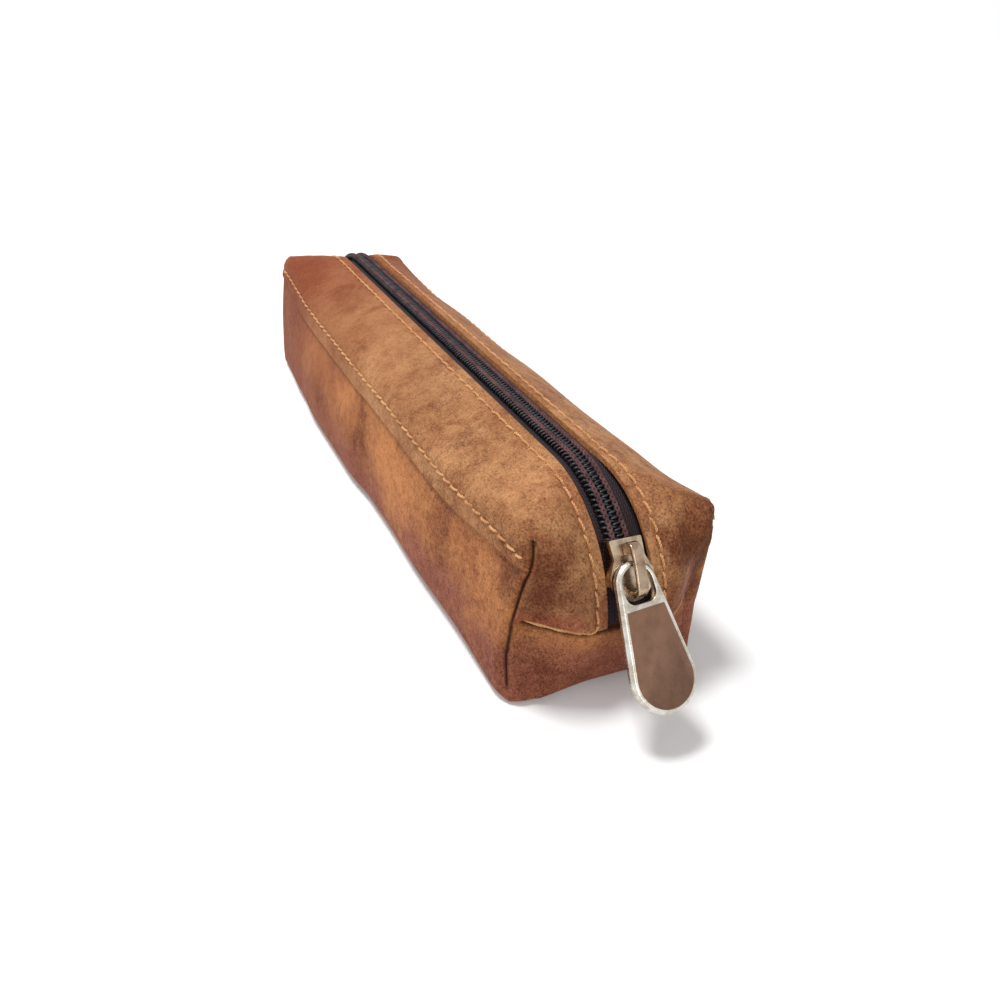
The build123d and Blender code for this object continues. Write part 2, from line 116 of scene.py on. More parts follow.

# Larger stains of the leather, and a few dark spots of painted shade: place, size and strength, dark below
# zero and pale above
STAINS_AND_SHADE = (
    # left top panel
    ((-84, -22, 42), 12, -0.8), ((-55, -19, 44), 22, -0.45), ((-14, -25, 44), 5, -0.7),
    ((-23, -20, 44), 4, -0.5), ((-22, -26, 44), 6, 0.5), ((2, -23, 44), 14, 0.45),
    ((16, -8, 44), 7, -0.6), ((35, -20, 44), 8, -0.3),
    ((56, -19, 44), 3.5, -0.9), ((59, -17, 44), 3, -0.6), ((50, -24, 44), 12, 0.5), ((83, -16, 44), 15, 0.8),
    ((83, -28, 40), 5, -0.6), ((70, -25, 43), 4, -0.5), ((92, -23, 41), 6, -0.7),
    ((106, -16, 40), 8, -0.9), ((105, -20, 31), 6, -0.7), ((106, -11, 30), 6, -0.4),
    # right top panel; its two darkest spots, in the flap's hollow and at its outer corner, are painted shade
    ((60, 23, 44), 14, 0.3), ((84, 16, 44), 10, 0.5), ((97, 19, 42), 8, -0.8), ((39, 17, 44), 14, 0.4),
    ((-45, 14, 43), 20, -0.2), ((103, 14, 37), 6, -1.0), ((105, 9, 32), 7, -0.3), ((102, 20, 34), 5, -1.0),
    # lower front
    ((104, -14, 7), 8, -0.4), ((104, -19, 19), 5, 0.6), ((105, -8, 17), 6, 0.6), ((104, -4, 6), 8, -0.3),
    # left side, and the right one's front corner, whose two dark spots are painted shade on its rolled edge
    ((99, 24, 31), 6, -1.0), ((99, 24, 20), 6, -1.0),
    ((-32, -27, 17), 8, -0.6), ((5, -27, 21), 9, -0.75), ((-52, -27, 21), 9, 0.7), ((-14, -27, 27), 7, 0.9),
    ((29, -27, 21), 13, 0.9), ((-75, -26, 31), 12, -0.8), ((60, -26, 24), 8, -0.6), ((94, -25, 34), 12, -0.5),
    ((39, -27, 11), 12, 0.3), ((82, -26, 16), 16, 0.2), ((100, -24, 32), 6, -0.4), ((103, -24, 13), 8, -0.6),
    # right side, rear and bottom, out of sight in the photograph
    ((-60, 27, 20), 14, -0.7), ((10, 27, 24), 16, 0.6), ((70, 27, 16), 12, -0.5), ((-104, 8, 30), 9, -0.6),
    ((-103, -12, 10), 9, -0.5), ((40, 8, 0), 16, -0.5), ((-50, -6, 0), 20, 0.5),
)

# Zip
RIDGE_RUN = 74.0  # the zip lies straight on the ridge this far from mid length, then bends down
TAPE_TOP = 45.1
TAPE_RADIUS = {1: 31.6, -1: 29.6}
TAPE = 0.6
TAPE_TURN = 77.0  # the tapes end where they have turned down this far
TAPE_INNER = 0.45  # edges of each tape, from the middle of the zip
TAPE_OUTER = 9.5
TAPE_PARTING = 2.1  # half width of the opening between the tapes round the slider's post
TAPE_PARTING_TURN = 64.0
TAPE_PARTING_HALF_LENGTH = 8.0
COIL_PITCH = 1.25
COIL_HEIGHT = 2.15
COIL_WIRE = 0.28  # radius of the nylon wire
COIL_MIDDLE = 1.2  # middle of each coil, from the middle of the zip
COIL_REACH = 1.7  # how far its turns reach to either side of that
COIL_FRONT_TURN = 56.0
COIL_REAR_TURN = 76.0
CHAIN_THREAD = 0.32  # radius of the thread that holds the coil down
CHAIN_ROW = 1.7  # middle of its row
CHAIN_SWING = 0.42  # how far its two strands swing to either side

# Thread
STITCH_PITCH = 4.0
THREAD = 0.34  # radius of the sewing thread
HOLE = 0.45  # radius of a needle hole
LAST_ZIP_STITCH = 0.985  # share of the way to the end seam


# ---------------------------------------------------------------- helpers

def smooth(t):
    """Ease from 0 to 1 as t does, and stay there outside."""
    t = np.clip(t, 0.0, 1.0)
    return t * t * (3 - 2 * t)


def mix(a, b, t):
    return a + (b - a) * t


def eased(knots, at):
    """Value between knots of (place, value), easing in and out of each."""
    for (a, low), (b, high) in zip(knots, knots[1:]):
        if at <= b:
            return mix(low, high, float(smooth((at - a) / (b - a))))
    return knots[-1][1]


def lap_edge(x):
    """Height of the lap's raw edge: it climbs toward the corner seams."""
    return LAP_EDGE + LAP_EDGE_RISE * smooth((x - LAP_RISE_FROM) / LAP_RISE_RUN) ** 1.3


def run_along(line):
    """Distance of each point of a line from its start."""
    return np.concatenate(((0.0,), np.cumsum(np.linalg.norm(np.diff(line, axis=0), axis=1))))


def directions(line):
    """Unit tangent at each point of a line."""
    tangents = np.gradient(line, axis=0)
    return tangents / np.linalg.norm(tangents, axis=1)[:, None]


def linked(name, data):
    """A new object in the scene."""
    obj = bpy.data.objects.new(name, data)
    bpy.context.scene.collection.objects.link(obj)
    return obj


def tidy_mesh(obj, weld=0.004, sharp=40):
    """Merge doubled points, drop faces without area and shade the mesh smooth but for its sharp edges."""
    mesh = obj.data
    bm = bmesh.new()
    bm.from_mesh(mesh)
    bmesh.ops.remove_doubles(bm, verts=bm.verts, dist=weld * MM)
    bmesh.ops.dissolve_degenerate(bm, dist=0.001 * MM, edges=bm.edges)
    bm.to_mesh(mesh)
    bm.free()
    mesh.shade_smooth()
    mesh.set_sharp_from_angle(angle=radians(sharp))


def mesh_piece(name, points, faces, replaces, materials, face_slots=None):
    """A piece of the case from points in millimetres, in place of the nodes it stands for."""
    mesh = bpy.data.meshes.new(name)
    mesh.from_pydata([tuple(float(c) * MM for c in p) for p in points], [], faces)
    mesh.validate()
    obj = linked(name, mesh)
    for material in materials:
        mesh.materials.append(material)
    if face_slots is not None:
        mesh.polygons.foreach_set("material_index", face_slots)
    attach(obj, "case")
    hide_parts(*replaces)
    return obj


def paint(obj, name, values):
    """Give each point a number that the material reads."""
    attribute = obj.data.attributes.new(name, "FLOAT", "POINT")
    attribute.data.foreach_set("value", np.asarray(values, dtype=np.float32))


def grid_faces(rows, columns, offset=0, flip=False):
    """Faces between points that lie in rows and columns."""
    faces = []
    for r in range(rows - 1):
        for c in range(columns - 1):
            low, high = offset + r * columns + c, offset + (r + 1) * columns + c
            face = (low, low + 1, high + 1, high)
            faces.append(face[::-1] if flip else face)
    return faces


def thicken(obj, thickness, backed=False, shares=None):
    """Give a sheet its thickness, inward from the outer face; leather is backed by other materials."""
    solid = obj.modifiers.new("thickness", "SOLIDIFY")
    solid.thickness = thickness * MM
    solid.offset = -1
    if shares is not None:
        group = obj.vertex_groups.new(name="share of the thickness")
        for i, share in enumerate(shares):
            group.add([i], share, "REPLACE")
        solid.vertex_group = group.name
    if backed:
        solid.material_offset = 1
        solid.material_offset_rim = 2
    apply_modifiers(obj)


def seam_gaps(obj):
    """Distance of each point from the nearest corner seam, and the points."""
    points = np.empty(len(obj.data.vertices) * 3)
    obj.data.vertices.foreach_get("co", points)
    points = points.reshape(-1, 3) / MM
    gaps = np.full(len(points), 99.0)
    for (end, side), quarter in QUARTERS.items():
        for i in np.nonzero((points[:, 0] * end > 80) & (points[:, 1] * side > 0))[0]:
            x, y, z = abs(points[i])
            gaps[i] = hypot(*(quarter.groove(min(z, quarter.tip_z)) - (x, y, z)))
    return gaps, points


def shade_leather(obj):
    """Paint shade into the depth of the seams, along the end seam and under the lap's raw edge, and paint the
    larger stains with their few dark spots of painted shade, on the points, for the leather's colour.
    """
    gaps, points = seam_gaps(obj)
    # painted shade along the end seam, under the flap's rolled edge
    for i in np.nonzero((np.abs(points[:, 0]) > 95) & (points[:, 2] < 26))[0]:
        x, y, z = abs(points[i])
        quarter = QUARTERS[1 if points[i, 0] > 0 else -1, 1 if points[i, 1] > 0 else -1]
        place = z - quarter.seam_height(y) + 1.0, x - quarter.end_face(y, z) + 1.8
        gaps[i] = min(gaps[i], 0.6 * hypot(*place))
    seam_shade = np.exp(-(gaps / SEAM_SHADE_WIDTH) ** 2)
    if obj.name == "leather_body":
        # painted shade under the lap's raw edge
        below = lap_edge(np.abs(points[:, 0])) - 0.4 - points[:, 2]
        seam_shade = np.maximum(seam_shade, 0.5 * np.exp(-(below / 0.5) ** 2))
    paint(obj, "seam_shade", seam_shade)
    warped = points + [6.0 * noise.noise_vector(Vector(p * 0.09)) + 2.0 * noise.noise_vector(Vector(p * 0.3))
                       for p in points]
    stain_and_shade = np.zeros(len(points))
    for place, size, strength in STAINS_AND_SHADE:
        stain_and_shade += strength * np.exp(-(np.linalg.norm(warped - np.array(place), axis=1) / size) ** 2)
    paint(obj, "stain_and_shade", stain_and_shade)


def apply_modifiers(obj):
    """Keep the shape that the object's modifiers give it."""
    depsgraph = bpy.context.evaluated_depsgraph_get()
    made = bpy.data.meshes.new_from_object(obj.evaluated_get(depsgraph))
    old = obj.data
    obj.modifiers.clear()
    obj.data = made
    bpy.data.meshes.remove(old)


# ---------------------------------------------------------------- the shape of the leather

def bezier(a, control, b, t):
    return (1 - t) ** 2 * a + 2 * t * (1 - t) * control + t * t * b


def cubic(a, first, second, b, t):
    return (1 - t) ** 3 * a + 3 * t * (1 - t) ** 2 * first + 3 * t * t * (1 - t) * second + t ** 3 * b


class Quarter:
    """Outer faces of one quarter of the case: along from mid length, across from the zip, and height."""

    def __init__(self, end, side, face, radii, falls, drop, rise, lip, half, pinch=0.0):
        self.end, self.side = end, side
        self.signs = np.array((end, side, 1.0))
        self.face = face  # how far the flap's face stands out beside the zip
        self.radii = radii  # how tightly the leather turns down there, at BEND_PLACES
        self.falls = falls  # how far the end's face falls away to the corner, at the end seam and high up
        self.drop = drop  # how far the top has dropped at the corner
        self.rise = rise  # how much higher the end seam meets the corner seam
        self.lip = lip  # how wide the side rolls into the corner seam
        self.half = half  # half width at the side
        self.pinch = pinch  # how much narrower the case is at the top of the corner
        self.tip_y = self.seam_y(43.0)
        self.tip_x, self.tip_z = self.path(self.tip_y, DART)[:2]

    # the side and the corner seam

    def pinched(self, z):
        """How far the upper part of the corner is drawn in."""
        return self.pinch * float(smooth((z - PINCH_FROM) / PINCH_RUN))

    def side_y(self, x, z):
        """Half width of the case at a place along and a height."""
        belly = eased(BELLIES[self.side], self.end * x) * float(smooth((42.0 - z) / 30.0))
        belly -= self.pinched(z) * float(smooth((x - 30) / 65))
        return self.half - (z - SIDE_FULL_Z) ** 2 / (2 * SIDE_RADIUS) + belly

    def seam_y(self, z):
        """How far across the corner seam lies at a height, below its tip."""
        return float(np.interp(z, SEAM_HEIGHTS, SEAM_ACROSS[self.side])) - self.pinched(z)

    def groove(self, z):
        """The corner seam, where the rolled edges meet."""
        x = float(np.interp(z, SEAM_HEIGHTS, SEAM_ALONG))
        x = mix(x, self.tip_x, float(smooth((z - 34.0) / (self.tip_z - 34.0))))
        x += SEAM_BULGE[self.side] * sin(pi * min(max((z - 32.0) / (self.tip_z - 32.0), 0.0), 1.0)) ** 2
        y = mix(self.seam_y(z), self.tip_y, float(smooth((z - 36.0) / (self.tip_z - 36.0))))
        return np.array((x, y, z))

    def roll(self, z):
        """How wide the side's leather rolls into the corner seam: more where it has further to come in."""
        return max(self.lip, 0.75 * (self.half + 0.8 - self.groove(z)[1]))

    def lip_start(self, z):
        """Where the side starts to roll into the corner seam: sooner at the foot, whose corner is plain."""
        return self.groove(z)[0] - mix(FOOT_CORNER + 2.0, self.roll(z), float(smooth(z / 7.0)))

    # the top and the flap

    def top_height(self, x, y):
        """Height of the top panel's grain side, ahead of its bend."""
        drop = mix(DROP_MIDDLE, self.drop, float(smooth((x - 55) / 42)))
        drop += sum(deep * float(np.exp(-((self.end * x - place) / reach) ** 2))
                    for place, reach, deep in SAGS[self.side])
        return RIDGE - drop * (max(y - RIDGE_HALF, 0.0) / (SHOULDER_Y - RIDGE_HALF)) ** 1.3

    def seam_height(self, y):
        """Height of the end seam at a place across."""
        return SEAM_MIDDLE + self.rise * float(smooth((y - 6) / 18))

    def end_face(self, y, z=40.0):
        """How far the end stands out at a place across and a height."""
        fall = mix(*self.falls, float(smooth((z - 21.0) / 18.0)))
        return self.face - fall * (max(y - 9.0, 0.0) / 13.5) ** 1.5

    def path(self, y, share):
        """Along, height and turn of the normal, a share of the way from PATH_START to the end seam."""
        radius = float(np.interp(y, BEND_PLACES, self.radii))
        low = self.seam_height(y) + LIP
        straight = self.end_face(y) - radius - PATH_START
        turned = self.top_height(94.0, y) - radius
        arc = radius * (pi / 2 if turned > low else pi / 2 - np.arcsin(min(1.0, (low - turned) / radius)))
        run = share * (straight + arc + max(turned - low, 0.0))
        if run <= straight:
            return PATH_START + run, self.top_height(PATH_START + run, y), 0.0
        turn = (run - straight) / radius
        if run <= straight + arc:
            return PATH_START + straight + radius * sin(turn), turned + radius * cos(turn), turn
        return self.end_face(y), turned - (run - straight - arc), pi / 2

    def top_point(self, column, y, lift=0.0):
        """Point of the top panel's grain side and its normal; beyond the end seam it rolls in."""
        kind, place = column
        if kind == "flat":
            x, z, turn = place, self.top_height(place, y), 0.0
        else:
            x, z, turn = self.path(y, 1.0 if kind == "roll" else place)
        point = np.array((x + self.end_face(y, z) - self.end_face(y), y, z))
        normal = np.array((sin(turn), 0.0, cos(turn)))
        if kind == "roll":
            rolled = np.array((sin(turn + place), 0.0, cos(turn + place)))
            point += LIP * (rolled - normal)
            normal = rolled
        dent = self.dents(point)
        return point + (lift - dent) * normal, normal

    def dents(self, point):
        """Soft hollows in the flap and beside the tip of the corner seam."""
        deep = 0.0
        for place, size, depth in DENTS[self.end, self.side]:
            away = np.linalg.norm((point - np.array(place)) / np.array(size))
            deep += depth * float(np.exp(-away ** 2))
        return deep

    def outer_y(self, column):
        """Where the flat of the top panel ends: at the shoulder, and on the flap where its edge rolls in."""
        kind, place = column
        if kind == "flat":
            return SHOULDER_Y
        share = 1.0 if kind == "roll" else place
        if share <= DART:
            return mix(SHOULDER_Y, self.tip_y, float(smooth(share / DART)))
        z = self.path(self.tip_y, share)[1]
        return self.groove(z)[1] - END_LIP * float(smooth((share - DART) / 0.2))

    def flap_lip(self, column, base):
        """The flap's edge, rolled into the corner seam."""
        kind, place = column
        share = 1.0 if kind == "roll" else place
        groove = self.groove(self.path(self.tip_y, share)[1])
        if kind == "roll":
            groove += base - self.top_point(("bend", 1.0), base[1])[0]
        inner = self.top_point(column, base[1] - 0.5)[0]
        reach = groove[1] - base[1]
        slope = (base - inner) / 0.5
        fold = float(smooth((share - DART) / 0.15)) * FLAP_FOLD
        first = base + slope * reach * 0.7
        second = groove + fold * np.array((1.0, 0.12, 0.0))
        line = [cubic(base, first, second, groove, t) for t in np.linspace(0, 1, 11)[1:]]
        depth = float(smooth((share - DART) / 0.1))
        return line + [groove + depth * k * TUCK * np.array((-1.0, -0.2, 0.0)) for k in (1, 2, 3)]

    # the lap: the top panel's edge, turned down over the side

    def lap_stitch_in(self, x):
        """Distance of the lap's stitches from its raw edge."""
        return mix(LAP_STITCH_IN, LAP_STITCH_END, float(smooth((x - 66) / 34)))

    def shoulder(self, x):
        """The top panel over the shoulder at a place along, down to its raw edge, and the run along it."""
        if x <= PATH_START:
            base, inner = [np.array((x, y, self.top_height(x, y))) for y in (SHOULDER_Y, SHOULDER_Y - 1)]
        else:
            share = float(np.interp(x, self.rim_along, self.rim_shares))
            y = self.outer_y(("bend", share))
            base, inner = [self.top_point(("bend", share), across)[0] for across in (y, y - 1)]
        slope = max(inner[2] - base[2], 0.05)
        low_z = max(base[2] - mix(7.0, 4.6, float(smooth((x - 70) / 30))), lap_edge(x) + 1.2)
        across = self.side_y(x, low_z) + LAP_STAND
        low = np.array((x, across, low_z))
        corner = np.array((mix(base[0], x, 0.6), across + 0.3, base[2] - slope * (across - base[1])))
        corner = mix((base + low) / 2, corner, self.square(x))
        line = [bezier(base, corner, low, k / 20) for k in range(21)]
        edge = lap_edge(x)
        for k in range(1, 7):
            z = mix(low_z, edge, k / 6)
            line.append(np.array((x, self.side_y(x, z) + LAP_STAND, z)))
        line = np.array(line)
        return line, run_along(line)

    def square(self, x):
        """How full the shoulder is: less where it meets the rear's corner seams."""
        return 1.0 if self.end > 0 else mix(1.0, 0.45, float(smooth((x - 60) / 36)))

    def set_rim(self, shares):
        """Remember how far along the shoulder's edge each share lies."""
        self.rim_shares = shares
        self.rim_along = [self.top_point(("bend", s), self.outer_y(("bend", s)))[0][0] for s in shares]

    def lap_point(self, x, k, steps):
        """Point a part of the way down the lap; near the corner seam the lap rolls into it."""
        part = k / steps
        width = self.lip * mix(0.3, 1.0, float(smooth(part / 0.6)))
        start = self.tip_x - width
        line, run = self.shoulder(min(x, start))
        distance = run[-1] * part
        point = np.array([np.interp(distance, run, line[:, i]) for i in range(3)])
        point[1] -= STITCH_VALLEY * np.exp(-((run[-1] - distance - self.lap_stitch_in(x)) / 0.6) ** 2)
        if x <= start:
            return point
        groove = self.groove(mix(self.tip_z, lap_edge(self.tip_x), part))
        first = point + np.array((0.6 * width, 0.0, 0.0))
        second = groove + np.array((0.1, 1.2 * float(smooth(part / 0.4)), 0.0))
        return cubic(point, first, second, groove, (x - start) / width)

    # the tray: side, end and bottom

    def lower_face(self, y, z):
        """The end under its seam: it leans out upward and falls away to the corner."""
        upper = self.end_face(y, z) - LOWER_INSET
        foot = min(FOOT_OUT, upper + 2.0)
        return mix(foot, upper, float(smooth((z - 1.0) / 18)))

    def wall(self, kind, place, z):
        """Point of the tray's wall at a height, and which way it faces in plan, in degrees from across."""
        groove = self.groove(z)
        start = self.lip_start(z)
        side = np.array((start, self.side_y(start, z), z))
        end_y = groove[1] - mix(FOOT_CORNER + 2.0, END_LIP, float(smooth(z / 7.0)))
        end = np.array((self.lower_face(end_y, z), end_y, z))
        if kind == "side":
            x = place * start
            return np.array((x, self.side_y(x, z), z)), 0.0
        if kind == "end":
            y = place * end_y
            return np.array((self.lower_face(y, z), y, z)), 90.0
        outer = np.array((end[0], side[1], z))
        plain = 0.17 * side + 0.66 * outer + 0.17 * end
        depth = float(smooth((z - 0.2) / 4.0))
        fold = mix(plain, groove, depth)
        if kind == "side_lip":
            full = self.roll(z) - self.lip
            control = np.array((groove[0] + 0.8 * full, side[1] + 0.2 + 0.3 * full, z))
            control = mix((side + outer) / 2, control, depth)
            return bezier(side, control, fold, place), 45.0 * place
        control = mix((end + outer) / 2, np.array((end[0] + 0.2, groove[1], z)), depth)
        return bezier(end, control, fold, place), 90.0 - 45.0 * place

    def tray_column(self, kind, place, tuck=0):
        """Points up the tray from the middle of the bottom to the rim."""
        foot, turn = self.wall(kind, place, 0.0)
        hem = FOOT_CORNER
        if kind == "side":
            hem = mix(SIDE_HEM, FOOT_CORNER, float(smooth((place - 0.8) / 0.2)))
        elif kind == "end":
            hem = mix(FOOT, FOOT_CORNER, float(smooth((place - 0.2) / 0.8)))
        inward = -np.array((sin(radians(turn)), cos(radians(turn)), 0.0))
        base = foot + inward * hem
        spine = np.array((min(base[0], 82.0), 0.0, 0.0))
        line = [mix(spine, base, k / 8) for k in range(8)]
        for a in np.radians((0, 11, 22, 33, 44, 55, 66, 78)):
            point = self.wall(kind, place, hem * (1 - cos(a)))[0]
            line.append(point + inward * hem * (1 - sin(a)))
        upright = kind in ("side", "side_lip")
        top = SIDE_TOP if upright else self.seam_height(foot[1]) - LOWER_LIP - 0.3
        dense = min(lap_edge(abs(foot[0])), 35.0) - 2.2 if upright else mix(hem, top, 0.6)
        for k in range(1, 23):
            share = k / 22
            z = mix(hem, dense, share / 0.6) if share < 0.6 else mix(dense, top, (share - 0.6) / 0.4)
            line.append(self.wall(kind, place, z)[0])
        last = line[-1]
        for k in range(1, 6):
            a = radians(100) * k / 5
            if upright:
                line.append(last + np.array((0.0, 0.0, 0.1 * k)))
            else:
                line.append(last + LOWER_LIP * np.array((cos(a) - 1, 0.0, sin(a))))
        if tuck:
            way = np.array((-0.2, -1.0, 0.0)) if upright else np.array((-1.0, -0.2, 0.0))
            line = [p + way * tuck * TUCK * float(smooth((p[2] - 1.0) / 5.0)) for p in line]
        return [p * self.signs for p in line]


QUARTERS = {
    (1, -1): Quarter(1, -1, face=106.7, radii=(31.0, 29.5, 18.0, 9.5, 5.5), falls=(8.2, 6.4), drop=2.9,
                     rise=1.6, lip=2.2, half=25.2),
    (1, 1): Quarter(1, 1, face=107.7, radii=(28.5, 27.0, 17.0, 9.0, 5.5), falls=(11.2, 6.8), drop=3.3,
                    rise=-0.2, lip=3.2, half=26.3),
    (-1, -1): Quarter(-1, -1, face=106.7, radii=(30.0, 28.5, 20.0, 11.0, 5.5), falls=(8.2, 6.0), drop=2.9,
                      rise=1.6, lip=2.4, half=25.2),
    (-1, 1): Quarter(-1, 1, face=106.7, radii=(30.0, 28.5, 20.0, 11.0, 5.5), falls=(9.0, 6.4), drop=2.9,
                     rise=1.2, lip=2.4, half=25.8, pinch=3.6),
}

SHARES = np.concatenate((np.linspace(0, DART - 0.1, 22)[1:], np.linspace(DART - 0.1, DART, 14)[1:],
                         np.linspace(DART, DART + 0.12, 12)[1:], np.linspace(DART + 0.12, 1, 16)[1:]))
ROLL_TURNS = np.radians((15, 32, 50, 70, 92))
for quarter in QUARTERS.values():
    quarter.set_rim([float(s) for s in SHARES if s <= DART + 1e-9])


def quarter_columns():
    """The top panel's columns from mid length to the end seam and round its rolled edge."""
    flat = [("flat", float(x)) for x in np.linspace(0, PATH_START, 50)]
    return flat + [("bend", float(s)) for s in SHARES] + [("roll", float(a)) for a in ROLL_TURNS]


# ---------------------------------------------------------------- top panels

# Rows of the top panel from the zip to the shoulder, as shares: close together round the stitches
MAIN_ROWS = (0, 0.025, 0.05, 0.08, 0.11, 0.13, 0.15, 0.17, 0.19, 0.21, 0.24, 0.28, 0.34, 0.41, 0.48, 0.55,
             0.62, 0.69, 0.76, 0.82, 0.88, 0.94, 1.0)
LAP_ROWS = 22


def top_panel(side, word, materials):
    """One top panel: the flat and its flaps, the laps on the side, and the flaps' rolled edges."""
    columns = quarter_columns()
    points, faces = [], []

    def add_grid(rows):
        faces.extend(grid_faces(len(rows), len(rows[0]), len(points), side < 0))
        for row in rows:
            points.extend(row)

    halves = {}
    for end in (-1, 1):
        quarter = QUARTERS[end, side]
        main, lap, flap = [], [], []
        for column in columns:
            outer = quarter.outer_y(column)
            rows = []
            for t in MAIN_ROWS:
                y = mix(ZIP_EDGE, outer, t)
                valley = STITCH_VALLEY * np.exp(-((y - ZIP_STITCH) / 0.6) ** 2)
                rows.append(quarter.top_point(column, y, -valley)[0])
            main.append(rows)
            share = {"flat": 0.0, "bend": column[1], "roll": 1.0}[column[0]]
            if share <= DART + 1e-9:
                x = column[1] if column[0] == "flat" else rows[-1][0]
                lap.append([rows[-1]] + [quarter.lap_point(x, k, LAP_ROWS) for k in range(1, LAP_ROWS + 1)])
            if share >= DART - 1e-9:
                flap.append([rows[-1]] + quarter.flap_lip(column, rows[-1]))
        for k in (1, 2, 3):
            lap.append([p + np.array((-0.2, -1.0, 0.0)) * k * TUCK * float(smooth(r / 8))
                        for r, p in enumerate(lap[len(lap) - k])])
        halves[end] = [[[p * quarter.signs for p in column] for column in part] for part in (main, lap, flap)]

    def whole(part):
        """Columns from the rear end to the front one."""
        return halves[-1][part][::-1] + halves[1][part][1:]

    def as_rows(part_columns):
        return [list(row) for row in zip(*part_columns)]

    add_grid(as_rows(whole(0)))
    add_grid(as_rows(whole(1)))
    add_grid(as_rows(halves[-1][2][::-1]))
    add_grid(as_rows(halves[1][2]))
    obj = mesh_piece(f"leather_top_{word}", points, faces, (f"top_panel_{word}",), materials)
    tidy_mesh(obj)
    gaps, welded = seam_gaps(obj)
    shares = np.where(welded[:, 2] > 30, 0.3 + 0.7 * smooth(gaps / 3.0), 1.0)
    thicken(obj, LEATHER, backed=True, shares=[float(share) for share in shares])
    tidy_mesh(obj, sharp=50)
    shade_leather(obj)


# ---------------------------------------------------------------- body panel

def body_panel(materials):
    """Tray of the case: bottom, sides and lower ends, rolled in at the four corner seams."""
    side_places = [float(t) for t in np.linspace(0, 1, 62)]
    end_places = [float(t) for t in np.linspace(1, 0, 14)]
    lips = [float(t) for t in np.linspace(0, 1, 8)[1:]]

    def quarter_lines(quarter):
        return ([quarter.tray_column("side", t) for t in side_places]
                + [quarter.tray_column("side_lip", t) for t in lips]
                + [quarter.tray_column("side_lip", 1.0, k) for k in (1, 2, 3)],
                [quarter.tray_column("end_lip", 1.0, k) for k in (3, 2, 1)]
                + [quarter.tray_column("end_lip", t) for t in lips[::-1]]
                + [quarter.tray_column("end", t) for t in end_places])

    points, faces = [], []

    def add_columns(lines):
        count = len(lines)
        faces.extend(grid_faces(len(lines[0]), count, len(points), True))
        for row in zip(*lines):
            points.extend(row)

    made = {key: quarter_lines(quarter) for key, quarter in QUARTERS.items()}
    for side in (1, -1):
        # one side wall, from the corner seam behind the turn of travel to the next
        first, second = (-1, 1) if side > 0 else (1, -1)
        add_columns(made[first, side][0][::-1] + made[second, side][0][1:])
    for end in (1, -1):
        add_columns(made[end, end][1] + made[end, -end][1][::-1][1:])
    obj = mesh_piece("leather_body", points, faces, ("body_panel",), materials)
    tidy_mesh(obj)
    thicken(obj, LEATHER, backed=True)
    tidy_mesh(obj, sharp=50)
    shade_leather(obj)


# ---------------------------------------------------------------- zip

def zip_point(run, lift, across=0.0):
    """Point above the tape: run along the zip's line from mid length, at the tape's outer face."""
    end = 1 if run > 0 else -1
    radius = TAPE_RADIUS[end]
    straight = RIDGE_RUN + TAPE_RADIUS[1] - radius
    over = max(abs(run) - straight, 0.0)
    turn = min(over / radius, pi / 2)
    low = over - radius * turn
    r = radius + lift
    along = end * (min(abs(run), straight) + r * sin(turn))
    return np.array((along, across, TAPE_TOP - radius + r * cos(turn) - low))


def zip_run(end, turn):
    """Run at which the zip has turned down by so many degrees at an end."""
    return end * (RIDGE_RUN + TAPE_RADIUS[1] - TAPE_RADIUS[end] + TAPE_RADIUS[end] * radians(turn))


def tape_inner(run):
    """Inner edge of a tape: the two part round the slider's post, as the nodes they replace do."""
    along = (run - zip_run(1, TAPE_PARTING_TURN)) / TAPE_PARTING_HALF_LENGTH
    return max(TAPE_INNER, TAPE_PARTING * sqrt(max(1 - along ** 2, 0.0)))


def zip_tape(side, word, material):
    """Tape of one side, painted with its own run and width for the weave."""
    runs = np.linspace(zip_run(-1, TAPE_TURN), zip_run(1, TAPE_TURN), 260)
    shares = (0, 0.06, 0.17, 0.28, 0.39, 0.5, 0.61, 0.72, 0.83, 1.0)
    places = [(run, mix(tape_inner(run), TAPE_OUTER, share)) for share in shares for run in runs]
    points = [zip_point(run, -0.03 * max(y - 4.0, 0.0) ** 2, side * y) for run, y in places]
    obj = mesh_piece(f"zip_tape_cloth_{word}", points, grid_faces(len(shares), len(runs), 0, side < 0),
                     (f"zip_tape_{word}",), (material,))
    paint(obj, "run", [run for run, y in places])
    paint(obj, "across", [y for run, y in places])
    thicken(obj, TAPE)
    tidy_mesh(obj)


def tube_mesh(line, radius, sides=6, offset=0):
    """Points and faces of a tube along a line, closed at both ends."""
    line = np.array(line)
    count = len(line)
    tangents = directions(line)
    points = []
    first = np.cross(tangents[0], (0.0, 0.0, 1.0))
    if np.linalg.norm(first) < 1e-3:
        first = np.cross(tangents[0], (0.0, 1.0, 0.0))
    u = first / np.linalg.norm(first)
    for k in range(count):
        u = u - tangents[k] * float(u @ tangents[k])
        u /= np.linalg.norm(u)
        v = np.cross(tangents[k], u)
        for s in range(sides):
            a = 2 * pi * s / sides
            points.append(line[k] + radius * (cos(a) * u + sin(a) * v))
    faces = []
    for k in range(count - 1):
        for s in range(sides):
            n = (s + 1) % sides
            faces.append((offset + k * sides + s, offset + k * sides + n,
                          offset + (k + 1) * sides + n, offset + (k + 1) * sides + s))
    faces.append(tuple(offset + s for s in range(sides))[::-1])
    faces.append(tuple(offset + (count - 1) * sides + s for s in range(sides)))
    return points, faces


